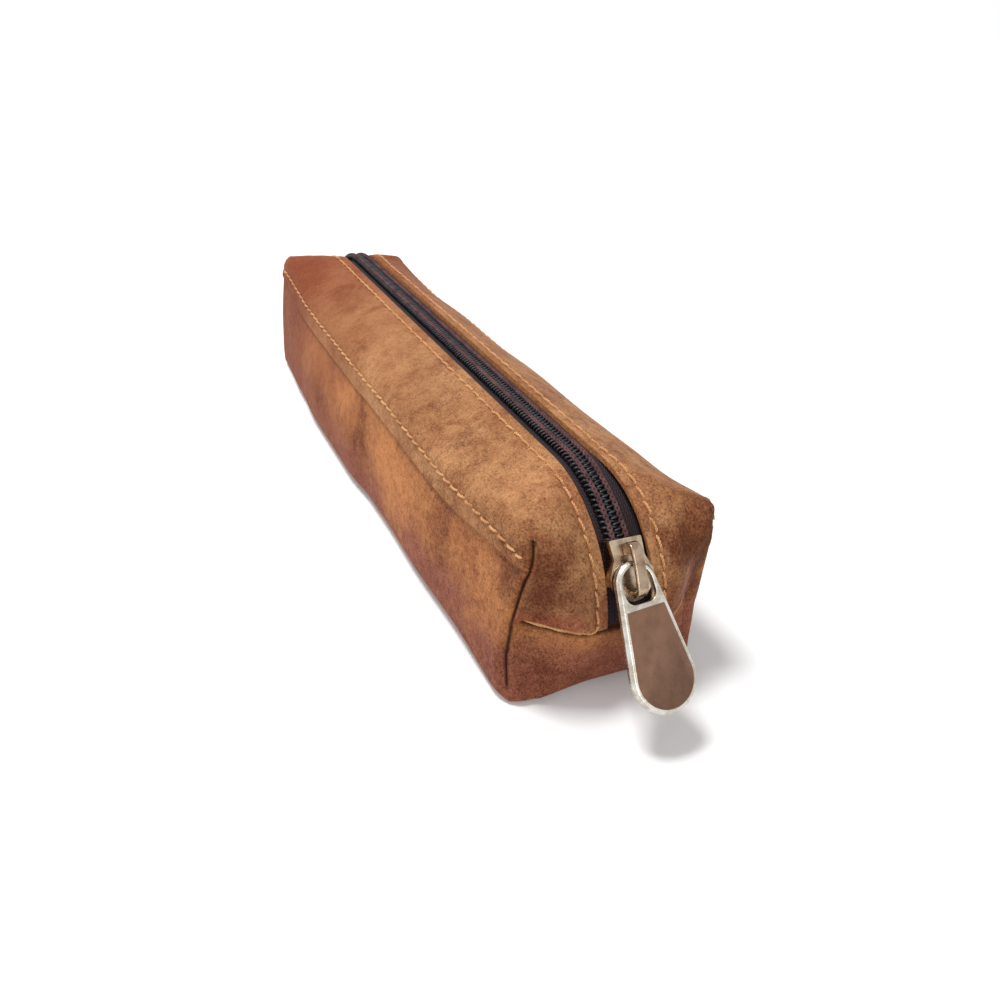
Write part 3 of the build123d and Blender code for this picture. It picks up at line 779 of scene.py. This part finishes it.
def coil(side, word, material):
    """Nylon coil of one side: a flattened helix whose heads mesh with the other side's."""
    start, finish = zip_run(-1, COIL_REAR_TURN), zip_run(1, COIL_FRONT_TURN)
    turns = int((finish - start) / COIL_PITCH)
    per_turn = 14
    line = []
    for k in range(turns * per_turn):
        phase = 2 * pi * k / per_turn
        run = start + COIL_PITCH * (k / per_turn + (0.5 if side > 0 else 0.0))
        reach, rise = cos(phase), sin(phase)
        y = COIL_MIDDLE + COIL_REACH * np.sign(reach) * abs(reach) ** 0.75
        h = COIL_HEIGHT / 2 + (COIL_HEIGHT / 2 - COIL_WIRE) * np.sign(rise) * abs(rise) ** 0.7
        line.append(zip_point(run, h, side * y))
    points, faces = tube_mesh(line, COIL_WIRE)
    obj = mesh_piece(f"coil_{word}", points, faces, (f"zip_coil_{word}",), (material,))
    tidy_mesh(obj, sharp=80)


def coil_thread(side, word, material):
    """Sewing of the coil to its tape: a chain of thread over the coil's turns."""
    start, finish = zip_run(-1, COIL_REAR_TURN), zip_run(1, COIL_FRONT_TURN)
    stitches = int((finish - start) / (2 * COIL_PITCH))
    points, faces = [], []
    per_stitch = 10
    for strand in (-1, 1):
        line = []
        for k in range(stitches * per_stitch):
            phase = 2 * pi * k / per_stitch
            run = start + 2 * COIL_PITCH * k / per_stitch
            y = CHAIN_ROW + strand * CHAIN_SWING * sin(phase)
            h = COIL_HEIGHT + 0.06 + 0.12 * cos(2 * phase)
            line.append(zip_point(run, h, side * y))
        more_points, more_faces = tube_mesh(line, CHAIN_THREAD, offset=len(points))
        points += more_points
        faces += more_faces
    obj = mesh_piece(f"coil_thread_{word}", points, faces, (f"coil_stitching_{word}",),
                     (material,))
    tidy_mesh(obj, sharp=80)


# ---------------------------------------------------------------- thread

def resample(line, normals, step):
    """Places and normals along a line at even steps."""
    run = run_along(line)
    at = np.arange(0.0, run[-1], step)
    spread = np.array([np.interp(at, run, column) for column in np.hstack((line, normals)).T]).T
    return spread[:, :3], spread[:, 3:] / np.linalg.norm(spread[:, 3:], axis=1)[:, None]


class Sewing:
    """Points and faces of thread and needle holes, gathered into one piece."""

    def __init__(self):
        self.points, self.faces, self.kinds = [], [], []

    def plied(self, line, radius, twist=1.5):
        """Two plies wound round each other."""
        line = np.array(line)
        tangents = directions(line)
        run = run_along(line)
        u = np.cross(tangents, (0.31, 0.17, 0.94))
        u /= np.linalg.norm(u, axis=1)[:, None]
        v = np.cross(tangents, u)
        start = rng.uniform(0, pi)
        for ply in (0, pi):
            a = (2 * pi * run / twist + ply + start)[:, None]
            strand = line + 0.46 * radius * (np.cos(a) * u + np.sin(a) * v)
            points, faces = tube_mesh(strand, 0.62 * radius, 7, len(self.points))
            self.points += points
            self.faces += faces
            self.kinds += [0] * len(faces)

    def hole(self, place, normal, along):
        """A needle hole: a flat lens let into the leather, dark with painted shade."""
        across = np.cross(normal, along)
        rings, around = 3, 10
        offset = len(self.points)
        self.points.append(place + 0.05 * normal)
        for r in range(1, rings + 1):
            for k in range(around):
                a = 2 * pi * k / around
                reach = HOLE * r / rings * (1.25 * cos(a) * along + 0.8 * sin(a) * across)
                self.points.append(place + reach + (0.05 - 0.17 * (r / rings) ** 2) * normal)
        self.points.append(place - 0.3 * normal)
        for k in range(around):
            n = (k + 1) % around
            self.faces.append((offset, offset + 1 + k, offset + 1 + n))
            for r in range(rings - 1):
                a, b = offset + 1 + r * around, offset + 1 + (r + 1) * around
                self.faces.append((a + k, b + k, b + n, a + n))
            last = offset + 1 + (rings - 1) * around
            self.faces.append((last + n, last + k, offset + 1 + rings * around))
        self.kinds += [1] * (around * (rings + 1))

    def stitches(self, line, normals):
        """A row of stitches on a surface: each dips into a needle hole at both ends."""
        fine = 0.1
        places, normals = resample(line, normals, fine)
        per = int(round(STITCH_PITCH / fine))
        for start in range(0, len(places) - int(0.3 * per), per):
            part = places[start:start + per + 1]
            up = normals[start:start + per + 1]
            along = part[-1] - part[0]
            length = (len(part) - 1) * fine
            along /= np.linalg.norm(along)
            across = np.cross(up[0], along)
            rise = rng.uniform(0.26, 0.36)
            lean = rng.uniform(0.12, 0.30)
            gap = rng.uniform(0.35, 0.6)
            thread = []
            for k in range(2, len(part) - 2, 2):
                u = (k * fine - gap / 2) / (length - gap)
                u = min(max(u, 0.0), 1.0)
                height = rise * (1 - abs(2 * u - 1) ** 5 * 2.3)
                thread.append(part[k] + height * up[k] + lean * (2 * u - 1) * across)
            self.plied(thread, THREAD)
            self.hole(part[0], up[0], along)

    def piece(self, name, node):
        """All the thread and holes gathered, in place of a node."""
        obj = mesh_piece(name, self.points, self.faces, (node,), (seam_thread, needle_hole_shade),
                         self.kinds)
        tidy_mesh(obj, weld=0.0005, sharp=80)


def zip_row(quarter):
    """The line of stitches beside the zip, from mid length down the flap."""
    line, normals = [], []
    for column in quarter_columns():
        if column[0] == "roll" or (column[0] == "bend" and column[1] > LAST_ZIP_STITCH):
            break
        point, normal = quarter.top_point(column, ZIP_STITCH, -STITCH_VALLEY)
        line.append(point * quarter.signs)
        normals.append(normal * quarter.signs)
    return line, normals


def lap_row(quarter):
    """The line of stitches above the lap's raw edge, from mid length to the corner seam."""
    line, normals = [], []
    last = quarter.tip_x - (0.5 if quarter.end > 0 else 1.4) * quarter.lip
    for x in np.linspace(0.0, last, 90):
        run = quarter.shoulder(float(min(x, quarter.tip_x - quarter.lip)))[1]
        part = 1 - quarter.lap_stitch_in(float(x)) / run[-1]
        point = quarter.lap_point(float(x), part * LAP_ROWS, LAP_ROWS)
        before = quarter.lap_point(float(x), (part - 0.04) * LAP_ROWS, LAP_ROWS)
        after = quarter.lap_point(float(x), (part + 0.04) * LAP_ROWS, LAP_ROWS)
        down = after - before
        down[0] = 0.0
        down /= np.linalg.norm(down)
        line.append(point * quarter.signs)
        normals.append(np.array((0.0, -down[2], down[1])) * quarter.signs)
    return line, normals


def both_ways(side, row):
    """A row over the whole length, from the rear end to the front one."""
    rear, front = row(QUARTERS[-1, side]), row(QUARTERS[1, side])
    return [a[::-1] + b[1:] for a, b in zip(rear, front)]


def seam_strand(quarter, lift, inset, start, stop):
    """A strand of thread lying in the end seam, from beside the zip to the corner."""
    line = []
    for y in np.linspace(start, stop, 40):
        z = quarter.seam_height(y) + lift
        wave = 0.12 * sin(1.7 * y + 5 * inset)
        line.append(np.array((quarter.end_face(y, z) - inset + 0.4 * wave, y, z + wave)) * quarter.signs)
    return line


def zip_sewing(side, word):
    """Stitches beside the zip."""
    sewing = Sewing()
    sewing.stitches(*both_ways(side, zip_row))
    sewing.piece(f"zip_thread_{word}", f"zip_stitching_{word}")


def lap_sewing(side, word):
    """Stitches along the lap's raw edge."""
    sewing = Sewing()
    sewing.stitches(*both_ways(side, lap_row))
    sewing.piece(f"lap_thread_{word}", f"lap_stitching_{word}")


def end_sewing(end, word):
    """Two strands of thread in each half of the end seam, and the loop up to the last zip stitch."""
    sewing = Sewing()
    for side in (-1, 1):
        quarter = QUARTERS[end, side]
        corner = quarter.seam_y(21.0)
        low = seam_strand(quarter, 0.1, 0.35, ZIP_STITCH + 1.6, corner - 2.0)
        point = quarter.top_point(("bend", LAST_ZIP_STITCH), ZIP_STITCH, 0.12)[0] * quarter.signs
        turn = np.array((quarter.end_face(8.2, 21) - 0.1, ZIP_STITCH + 0.1, quarter.seam_height(8) + 0.35))
        turn *= quarter.signs
        rounded = [bezier(point, turn, low[0], t) for t in np.linspace(0, 1, 14)]
        sewing.plied(rounded + low[1:], THREAD * 0.95)
        sewing.plied(seam_strand(quarter, -0.35, 0.8, ZIP_STITCH + 3.2, corner - 3.0), THREAD * 0.85)
    sewing.piece(f"end_thread_{word}", f"end_seam_stitching_{word}")


def corner_sewing(end, side, word):
    """The few stitches that show inside a corner seam."""
    quarter = QUARTERS[end, side]
    sewing = Sewing()
    length = 2.9
    for low in np.arange(3.5, 18.0, STITCH_PITCH):
        line = []
        for z in np.linspace(low, low + length, 12):
            share = (z - low) / length
            inward = -0.25 - 0.7 * abs(2 * share - 1) ** 4
            line.append((quarter.groove(z) + np.array((inward, inward, 0.0))) * quarter.signs)
        sewing.plied(line, THREAD * 0.8)
    sewing.piece(f"corner_thread_{word}", f"corner_seam_stitching_{word}")


# ---------------------------------------------------------------- metal

FRONT_WAY = Vector((sin(radians(50)), 0.0, cos(radians(50))))  # roughly where the puller's face looks
ROUNDED_FROM = 32.0  # edges that turn more than this many degrees are rounded


def rounded_copy(name, node, body, materials, width, segments=3):
    """A finer copy of a rigid node, with its edges rounded as cast and plated metal has them."""
    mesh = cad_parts[node].data.copy()
    obj = linked(name, mesh)
    mesh.materials.clear()
    for material in materials:
        mesh.materials.append(material)
    bm = bmesh.new()
    bm.from_mesh(mesh)
    bmesh.ops.remove_doubles(bm, verts=bm.verts, dist=0.002 * MM)
    bmesh.ops.dissolve_limit(bm, angle_limit=radians(1.0), verts=bm.verts, edges=bm.edges)
    bm.normal_update()
    edges = [e for e in bm.edges
             if len(e.link_faces) == 2 and e.is_convex and e.calc_face_angle() > radians(ROUNDED_FROM)]
    plate = len(materials) > 1
    if plate:
        # the raised face keeps crisp edges and takes the second material
        facing = [f for f in bm.faces if f.normal @ FRONT_WAY > 0.9]
        front = max(facing, key=lambda f: f.calc_area()).normal.copy()
        level = max(v.co @ front for v in bm.verts) - 0.1 * MM
        edges = [e for e in edges if any(v.co @ front < level for v in e.verts)]
    bmesh.ops.bevel(bm, geom=edges, offset=width * MM, segments=segments, profile=0.5, affect="EDGES",
                    clamp_overlap=True)
    if plate:
        for face in bm.faces:
            if face.calc_center_median() @ front > level:
                face.material_index = 1
    bm.to_mesh(mesh)
    bm.free()
    mesh.shade_smooth()
    mesh.set_sharp_from_angle(angle=radians(40))
    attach(obj, body)
    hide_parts(node)


# ---------------------------------------------------------------- materials

def srgb(red, green, blue):
    """A colour as it is seen, 0 to 255, turned to the renderer's linear values."""
    parts = [c / 255 for c in (red, green, blue)]
    return (*(c / 12.92 if c <= 0.04045 else ((c + 0.055) / 1.055) ** 2.4 for c in parts), 1.0)


def tint(colour, factor):
    """The colour made lighter or darker."""
    return [min(255, factor * c) for c in colour]


class Nodes:
    """Short hand for making and joining nodes."""

    def __init__(self, tree):
        self.tree = tree

    def new(self, kind, inputs=None, **settings):
        node = self.tree.nodes.new(kind)
        for key, value in settings.items():
            setattr(node, key, value)
        for key, value in (inputs or {}).items():
            self.put(node.inputs[key], value)
        return node

    def put(self, socket, value):
        if isinstance(value, bpy.types.NodeSocket):
            self.tree.links.new(value, socket)
        else:
            socket.default_value = value

    def math(self, operation, a, b=0.0):
        return self.new("ShaderNodeMath", {0: a, 1: b}, operation=operation).outputs[0]

    def seen_only(self):
        """1 for what the camera sees straight or in metal and glass, else 0."""
        ray = self.new("ShaderNodeLightPath").outputs
        seen = self.math("MAXIMUM", ray["Is Camera Ray"], ray["Is Glossy Ray"])
        return self.math("MAXIMUM", seen, ray["Is Transmission Ray"])


class Finish(Nodes):
    """A node material whose places are millimetres of the object's own space."""

    def __init__(self, name):
        self.material = bpy.data.materials.new(name)
        self.material.use_nodes = True
        super().__init__(self.material.node_tree)
        self.bsdf = self.tree.nodes["Principled BSDF"]
        metres = self.new("ShaderNodeTexCoord").outputs["Object"]
        self.place = self.vector("SCALE", {"Vector": metres, "Scale": 1000.0})

    def set(self, **values):
        for key, value in values.items():
            self.put(self.bsdf.inputs[key.replace("_", " ")], value)

    def noise(self, scale, detail=4.0, roughness=0.55, distortion=0.0, place=None):
        inputs = {"Vector": place or self.place, "Scale": scale, "Detail": detail, "Roughness": roughness,
                  "Distortion": distortion}
        return self.new("ShaderNodeTexNoise", inputs).outputs["Fac"]

    def cells(self, scale, place):
        """Distance from the edges of a cracked pattern."""
        return self.new("ShaderNodeTexVoronoi", {"Vector": place, "Scale": scale},
                        feature="DISTANCE_TO_EDGE").outputs["Distance"]

    def vector(self, operation, inputs):
        return self.new("ShaderNodeVectorMath", inputs, operation=operation).outputs[0]

    def warped(self, scale, amount):
        """Places pushed about by a soft noise, so that cells look grown and not cut."""
        cloud = self.new("ShaderNodeTexNoise", {"Vector": self.place, "Scale": scale, "Detail": 2.0})
        push = self.vector("SUBTRACT", {0: cloud.outputs["Color"], 1: (0.5, 0.5, 0.5)})
        push = self.vector("SCALE", {"Vector": push, "Scale": amount})
        return self.vector("ADD", {0: self.place, 1: push})

    def axes(self):
        return self.new("ShaderNodeSeparateXYZ", {"Vector": self.place}).outputs

    def spread(self, value, low, high, to_low=0.0, to_high=1.0):
        """Map low..high to to_low..to_high, smoothly and clamped."""
        inputs = {"Value": value, "From Min": low, "From Max": high, "To Min": to_low, "To Max": to_high}
        return self.new("ShaderNodeMapRange", inputs, interpolation_type="SMOOTHSTEP").outputs[0]

    def blend(self, share, a, b):
        """A share of colour b over colour a."""
        node = self.new("ShaderNodeMix", data_type="RGBA")
        for socket, value in ((0, share), (6, a), (7, b)):
            self.put(node.inputs[socket], value)
        return node.outputs[2]

    def over(self, colour, other, value, low, high, most=1.0, times=None, least=0.0):
        """Lay another colour, 0 to 255, over one: the most of it where a value is high."""
        share = self.spread(value, low, high, least, most)
        if times is not None:
            share = self.math("MULTIPLY", times, share)
        return self.blend(share, colour, srgb(*other))

    def painted(self, name):
        return self.new("ShaderNodeAttribute", attribute_name=name).outputs["Fac"]

    def bump(self, height, strength, depth):
        """Bump of a depth in millimetres, laid over the bump before it."""
        inputs = {"Height": height, "Strength": strength, "Distance": depth * MM}
        if self.bsdf.inputs["Normal"].is_linked:
            inputs["Normal"] = self.bsdf.inputs["Normal"].links[0].from_socket
        self.set(Normal=self.new("ShaderNodeBump", inputs).outputs[0])


def leather(name, light, mid, dark, ruddy, ruddy_from, ruddy_to):
    """Waxed pull-up leather: soft clouds, stains, and dark pores that gather where it is darker; painted
    shade in the seams, and a darker, redder tone towards the bottom that is partly painted shade.
    """
    f = Finish(name)
    x, y, z = f.axes()
    clouds = f.noise(0.034, 3.0, 0.6, 0.9)
    blotches = f.noise(0.10, 5.0, 0.6, 0.5)
    mottle = f.noise(0.55, 5.0, 0.62, 0.3)
    marks = f.noise(1.9, 4.0, 0.72, 0.4)
    stain_and_shade = f.math("ADD", f.painted("stain_and_shade"), f.spread(blotches, 0.3, 0.7, 0.28, -0.28))
    colour = f.over(srgb(*mid), light, clouds, 0.36, 0.64)
    colour = f.over(colour, dark, blotches, 0.48, 0.72, 0.45)
    # darker, redder tone towards the bottom: partly the leather's own tone, partly painted shade
    low = f.math("ADD", f.spread(z, ruddy_from, ruddy_to), f.spread(clouds, 0.4, 0.6, -0.25, 0.25))
    colour = f.over(colour, ruddy, low, 0.1, 1.0, 0.85)
    # stains, with the dark spots of painted shade that are listed among them
    colour = f.over(colour, tint(light, 1.07), stain_and_shade, 0.05, 0.95, 0.75)
    colour = f.over(colour, tint(dark, 0.9), stain_and_shade, -0.05, -1.0, 0.8)
    # the far end is darker and its marks are fainter
    near = f.spread(x, -70.0, 80.0, 0.3, 1.0)
    colour = f.over(colour, tint(dark, 1.04), x, 20.0, -100.0, 0.85)
    colour = f.over(colour, tint(dark, 0.66), mottle, 0.42, 0.68, 0.3, near)
    grain = f.cells(1.15, f.warped(0.9, 0.9))
    creases = f.math("MULTIPLY", f.spread(grain, 0.0, 0.12, 1.0, 0.0), near)
    colour = f.over(colour, (70, 36, 22), mottle, 0.35, 0.65, 0.4, creases, 0.05)
    pores = f.math("SUBTRACT", marks, f.math("MULTIPLY", stain_and_shade, 0.09))
    colour = f.over(colour, (60, 26, 15), pores, 0.50, 0.66, 0.62, near)
    colour = f.over(colour, tint(light, 1.18), pores, 0.46, 0.34, 0.4, near)
    # painted shade in the depth of the seams, along the end seam and under the lap's raw edge
    colour = f.over(colour, (40, 19, 12), f.painted("seam_shade"), 0.15, 0.9, 0.85)
    f.set(Base_Color=colour, Roughness=f.spread(mottle, 0.3, 0.7, 0.55, 0.72), Specular_IOR_Level=0.2,
          IOR=1.3)
    f.bump(f.noise(0.13, 2.0, 0.5), 0.3, 0.8)
    f.bump(mottle, 0.15, 0.16)
    f.bump(f.spread(grain, 0.0, 0.16), 0.28, 0.1)
    f.bump(marks, 0.35, 0.07)
    return f.material


def fibrous(name, light, dark):
    """Cut edge or flesh side of the leather."""
    f = Finish(name)
    fibres = f.noise(1.4, 6.0, 0.7, 0.6)
    colour = f.over(srgb(*dark), light, fibres, 0.3, 0.7)
    f.set(Base_Color=colour, Roughness=f.spread(fibres, 0.3, 0.7, 0.8, 0.95), Specular_IOR_Level=0.2)
    f.bump(fibres, 0.6, 0.25)
    return f.material


def sewing_thread(name, light, dark, rough):
    """Spun thread, with darker dirt in the lay of its plies."""
    f = Finish(name)
    wear = f.noise(0.35, 3.0)
    fibres = f.noise(7.0, 3.0, 0.7)
    colour = f.over(srgb(*light), dark, wear, 0.35, 0.7)
    colour = f.over(colour, tint(dark, 0.6), fibres, 0.4, 0.7, 0.45)
    f.set(Base_Color=colour, Roughness=f.spread(fibres, 0.3, 0.7, rough, rough + 0.15),
          Specular_IOR_Level=0.3)
    f.bump(fibres, 0.5, 0.05)
    return f.material


def woven_tape(name):
    """Twill zip tape: fine slanting ribs of dark thread, with painted shade in the grooves between them and
    paler painted light where the threads cross and stand highest.
    """
    f = Finish(name)
    run, across = f.painted("run"), f.painted("across")
    slant = f.math("ADD", run, f.math("MULTIPLY", across, 1.6))
    rib = f.math("SINE", f.math("MULTIPLY", slant, 2 * pi / 0.95))
    weft = f.math("SINE", f.math("MULTIPLY", across, 2 * pi / 0.7))
    height = f.math("ADD", f.math("MULTIPLY", rib, 0.32), f.math("MULTIPLY", weft, 0.18))
    height = f.math("ADD", height, 0.5)
    fuzz = f.noise(3.0, 4.0, 0.7)
    # painted shade in the weave's low grooves, paler painted light on its raised crossings
    colour = f.over(srgb(12, 7, 10), (60, 36, 43), height, 0.1, 0.9)
    colour = f.over(colour, (30, 19, 24), fuzz, 0.4, 0.7, 0.5)
    f.set(Base_Color=colour, Roughness=f.spread(fuzz, 0.3, 0.7, 0.8, 0.95), Specular_IOR_Level=0.2,
          Sheen_Weight=0.15, Sheen_Roughness=0.5)
    f.bump(height, 0.8, 0.25)
    f.bump(fuzz, 0.4, 0.1)
    return f.material


def nylon_coil(name):
    """Drawn nylon wire: dark blue grey, paler where it is rubbed."""
    f = Finish(name)
    rub = f.noise(1.2, 3.0)
    colour = f.over(srgb(16, 16, 21), (46, 47, 54), rub, 0.35, 0.65)
    f.set(Base_Color=colour, Roughness=f.spread(rub, 0.3, 0.7, 0.28, 0.45), Specular_IOR_Level=0.4)
    f.bump(rub, 0.2, 0.05)
    return f.material


def nickel(name, light, dark, rough, metallic=1.0, speck=0.25):
    """Plated or brushed metal with cloudy tarnish, tiny specks and fine scratches."""
    f = Finish(name)
    tarnish = f.noise(0.35, 4.0, 0.6)
    specks = f.noise(5.0, 2.0, 0.6)
    scratch = f.noise(1.6, 3.0, 0.6, 0.4, f.vector("MULTIPLY", {0: f.place, 1: (0.5, 4.0, 3.0)}))
    colour = f.over(srgb(*light), dark, tarnish, 0.35, 0.68)
    colour = f.over(colour, tint(dark, 0.5), specks, 0.60, 0.72, speck)
    colour = f.over(colour, tint(light, 1.25), specks, 0.40, 0.28, speck)
    f.set(Base_Color=colour, Roughness=f.spread(scratch, 0.3, 0.7, rough, rough + 0.16), Metallic=metallic)
    f.bump(scratch, 0.12, 0.04)
    f.bump(specks, 0.15, 0.02)
    return f.material


top_leather = leather("top_leather", (180, 131, 90), (156, 106, 69), (130, 67, 41), (140, 70, 50), 31.0, 19.0)
body_leather = leather("body_leather", (182, 121, 74), (154, 95, 60), (126, 67, 43), (142, 82, 68), 24.0, 4.0)
raw_edge = fibrous("raw_edge", (226, 156, 98), (160, 96, 54))
flesh_side = fibrous("flesh_side", (150, 112, 80), (104, 70, 48))
seam_thread = sewing_thread("seam_thread", (222, 168, 116), (190, 132, 84), 0.7)
# the needle holes' darkness is painted shade
needle_hole_shade = fibrous("needle_hole_shade", (52, 28, 16), (26, 13, 8))
tape_cloth = woven_tape("zip_tape")
nylon = nylon_coil("zip_coil")
coil_sewing = sewing_thread("coil_thread", (104, 70, 70), (66, 42, 46), 0.8)
slider_nickel = nickel("slider_metal", (196, 178, 156), (150, 126, 104), 0.17)
puller_nickel = nickel("puller_metal", (214, 210, 202), (176, 166, 150), 0.2)
puller_face = nickel("puller_face", (126, 92, 72), (114, 82, 64), 0.5, 0.5, 0.4)
# the crown's metal is a darker, warmer copy of the slider's: painted reflection of the leather
crown_nickel_painted_reflection = nickel("crown_metal_painted_reflection", (176, 154, 132), (132, 108, 88), 0.15)

for side, word in ((-1, "left"), (1, "right")):
    top_panel(side, word, (top_leather, flesh_side, raw_edge))
    zip_tape(side, word, tape_cloth)
    coil(side, word, nylon)
    coil_thread(side, word, coil_sewing)
    zip_sewing(side, word)
    lap_sewing(side, word)
    rounded_copy(f"top_stop_rounded_{word}", f"top_stop_{word}", "case", (slider_nickel,),
                 0.2, 2)
body_panel((body_leather, flesh_side, raw_edge))
for end, word in ((1, "front"), (-1, "rear")):
    end_sewing(end, word)
    for side, hand in ((-1, "left"), (1, "right")):
        corner_sewing(end, side, f"{word}_{hand}")
rounded_copy("slider_rounded", "slider_body", "slider", (slider_nickel,), 0.3)
rounded_copy("crown_rounded", "slider_crown", "slider", (crown_nickel_painted_reflection,), 0.35)
rounded_copy("puller_rounded", "puller", "puller", (puller_nickel, puller_face), 0.16)


# ---------------------------------------------------------------- camera, light and floor

LENS_PIXELS = 862.08
PICTURE = 1000.0
SENSOR = 36.0
CAMERA_PLACE = (220.3106, -95.8701, 135.3628)
CAMERA_RIGHT = (0.42968347, 0.89897350, 0.08496329)
CAMERA_DOWN = (0.49589835, -0.15629349, -0.85419973)
CAMERA_FORWARD = (-0.75462371, 0.40916866, -0.51295620)

FLOOR_HALF = 12.0  # metres
FLOOR_GREY = (0.85, 0.85, 0.85, 1.0)
FLOOR_GLOW = 0.10  # beside the case
GLOW_FROM, GLOW_TO = 180.0, 500.0  # the floor turns plain white between these distances
SKY = 0.42
WHITE = (1.0, 1.0, 1.0, 1.0)


def add_camera():
    """The camera fitted to the photograph."""
    data = bpy.data.cameras.new("camera")
    data.sensor_width = SENSOR
    data.lens = LENS_PIXELS * SENSOR / PICTURE
    data.clip_start = 0.01
    camera = linked("camera", data)
    axes = Matrix((CAMERA_RIGHT, [-c for c in CAMERA_DOWN], [-c for c in CAMERA_FORWARD])).transposed()
    camera.matrix_world = Matrix.Translation(Vector(CAMERA_PLACE) * MM) @ axes.to_4x4()
    bpy.context.scene.camera = camera


def add_lamp(name, place, size, power):
    """A square lamp at a place in metres, turned to the case."""
    data = bpy.data.lights.new(name, "AREA")
    data.shape = "SQUARE"
    data.size = size
    data.energy = power
    lamp = linked(name, data)
    lamp.location = place
    lamp.rotation_euler = (-Vector(place)).to_track_quat("-Z", "Y").to_euler()


def add_floor():
    """White floor: its colour takes the shadow, and a glow that only shows to the eye lifts it to white."""
    half = FLOOR_HALF
    mesh = bpy.data.meshes.new("floor")
    corners = [(-half, -half, 0), (half, -half, 0), (half, half, 0), (-half, half, 0)]
    mesh.from_pydata(corners, [], [(0, 1, 2, 3)])
    floor = linked("floor", mesh)
    f = Finish("floor")
    away = f.new("ShaderNodeVectorMath", {0: f.place}, operation="LENGTH").outputs["Value"]
    glow = f.math("MULTIPLY", f.seen_only(), f.spread(away, GLOW_FROM, GLOW_TO, FLOOR_GLOW, 1.0))
    f.set(Base_Color=FLOOR_GREY, Roughness=0.95, Specular_IOR_Level=0.0, Emission_Color=WHITE,
          Emission_Strength=glow)
    mesh.materials.append(f.material)


def add_world():
    """White to the eye, and a softer light on the object."""
    world = bpy.data.worlds.new("world")
    bpy.context.scene.world = world
    world.use_nodes = True
    nodes = Nodes(world.node_tree)
    strength = nodes.new("ShaderNodeMapRange", {"Value": nodes.seen_only(), "To Min": SKY, "To Max": 1.0})
    background = world.node_tree.nodes["Background"].inputs
    nodes.put(background["Color"], WHITE)
    nodes.put(background["Strength"], strength.outputs[0])


add_camera()
add_floor()
add_world()
add_lamp("key", (-0.12, -0.28, 1.0), 0.24, 8.6)
add_lamp("fill", (-0.2, -1.0, 0.5), 0.6, 1.2)
add_lamp("front", (1.0, -0.2, 0.45), 0.5, 2.2)
bpy.context.scene.view_settings.view_transform = "Standard"
